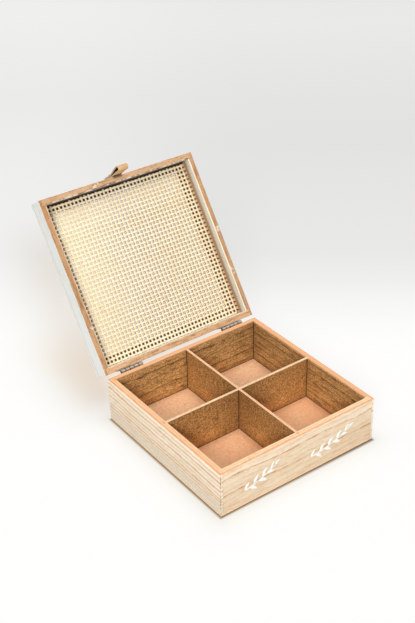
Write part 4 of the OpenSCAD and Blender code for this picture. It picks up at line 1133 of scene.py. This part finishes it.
# The flesh side inside the fold, near black: painted shade in the loop.
flesh_painted_shade = tint(tree, shade, linear(56, 36, 24), linear(42, 27, 18))
hide = tint(tree, flesh_side, hide, flesh_painted_shade)
hide = tint(tree, calc(tree, "MULTIPLY", rub_wear_and_painted_shade, 0.85), hide, linear(66, 42, 26))
hide = tint(tree, cut, hide, raw_edge)
relief = calc(tree, "MULTIPLY_ADD", pebble, 0.5, crease)
bump = put(tree, "ShaderNodeBump", {"Strength": 0.5, "Distance": 0.0003, "Height": relief})
shader = put(tree, "ShaderNodeBsdfPrincipled", {
    "Base Color": hide, "Roughness": span(tree, crease, 0.3, 0.7, 0.48, 0.64),
    "Specular IOR Level": 0.45, "Normal": bump.outputs[0],
})
tree.links.new(shader.outputs[0], surface)


def eased(share):
    """Smooth rise from 0 to 1."""
    return (1 - math.cos(math.pi * share)) / 2


strap_line = []
for step in range(5):
    strap_line.append((strap_thickness / 2, strap_top + (strap_part - strap_top) * step / 4))
for step in range(1, 19):
    at = step / 18
    strap_line.append((
        strap_thickness / 2 + inner_swing * eased(at),
        strap_part + (fold_height - strap_part) * at,
    ))
for step in range(1, 18):
    turned = math.pi * step / 18
    strap_line.append((
        fold_out - fold_radius * math.cos(turned), fold_height - fold_radius * math.sin(turned),
    ))
for step in range(18, -1, -1):
    at = step / 18
    strap_line.append((
        strap_thickness * 1.5 + outer_swing * eased(at),
        strap_part + (fold_height - strap_part) * at,
    ))
for step in range(1, 5):
    strap_line.append((strap_thickness * 1.5, strap_part + (strap_top - strap_part) * step / 4))

edge_round = 0.5
flesh_way = -1
profile = []
for centre_x, centre_n, start in (
    (strap_width / 2 - edge_round, strap_thickness / 2 - edge_round, 0),
    (-strap_width / 2 + edge_round, strap_thickness / 2 - edge_round, 90),
    (-strap_width / 2 + edge_round, -strap_thickness / 2 + edge_round, 180),
    (strap_width / 2 - edge_round, -strap_thickness / 2 + edge_round, 270),
):
    for turned in (0, 30, 60, 90):
        angle = math.radians(start + turned)
        profile.append((
            centre_x + edge_round * math.cos(angle), centre_n + edge_round * math.sin(angle),
        ))

strap_form = bmesh.new()
cut_layer = strap_form.verts.layers.float.new("cut")
flesh_layer = strap_form.verts.layers.float.new("flesh_side")
rings = []
last = len(strap_line) - 1
for number, (out, up) in enumerate(strap_line):
    before = strap_line[max(number - 1, 0)]
    after = strap_line[min(number + 1, last)]
    along = Vector((after[0] - before[0], after[1] - before[1])).normalized()
    side = Vector((along.y, -along.x))
    ring = []
    for across, through in profile:
        spot = Vector((out, up)) + side * through
        vert = strap_form.verts.new((
            across / 1000, (-half_box - spot.x) / 1000, (lid_rim_height + spot.y) / 1000,
        ))
        vert[cut_layer] = 1.0 if abs(across) > strap_width / 2 - 0.3 else 0.0
        vert[flesh_layer] = 1.0 if through * flesh_way > strap_thickness / 2 - 0.2 else 0.0
        ring.append(vert)
    rings.append(ring)
for first, second in zip(rings, rings[1:]):
    for number in range(len(profile)):
        following = (number + 1) % len(profile)
        strap_form.faces.new((first[number], first[following], second[following], second[number]))
for ring, way in ((rings[0], 1), (rings[-1], -1)):
    strap_form.faces.new(ring[::way])
bmesh.ops.recalc_face_normals(strap_form, faces=strap_form.faces)
strap_mesh = bpy.data.meshes.new("leather_tab")
strap_form.to_mesh(strap_mesh)
strap_form.free()
strap_mesh.transform(swing_open)
strap_mesh.shade_smooth()
strap_mesh.materials.append(leather_material)
leather_tab = bpy.data.objects.new("leather_tab", strap_mesh)
bpy.context.scene.collection.objects.link(leather_tab)
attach(leather_tab, "lid")
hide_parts("pull_tab")


# Stud. A small domed brass stud, driven through both ends of the strap into the rail.
dress("tab_stud", metal_material(
    "stud_brass", linear(226, 190, 122), linear(184, 142, 78), (1.2, 1.2, 1.2), 0.22, 0.4))
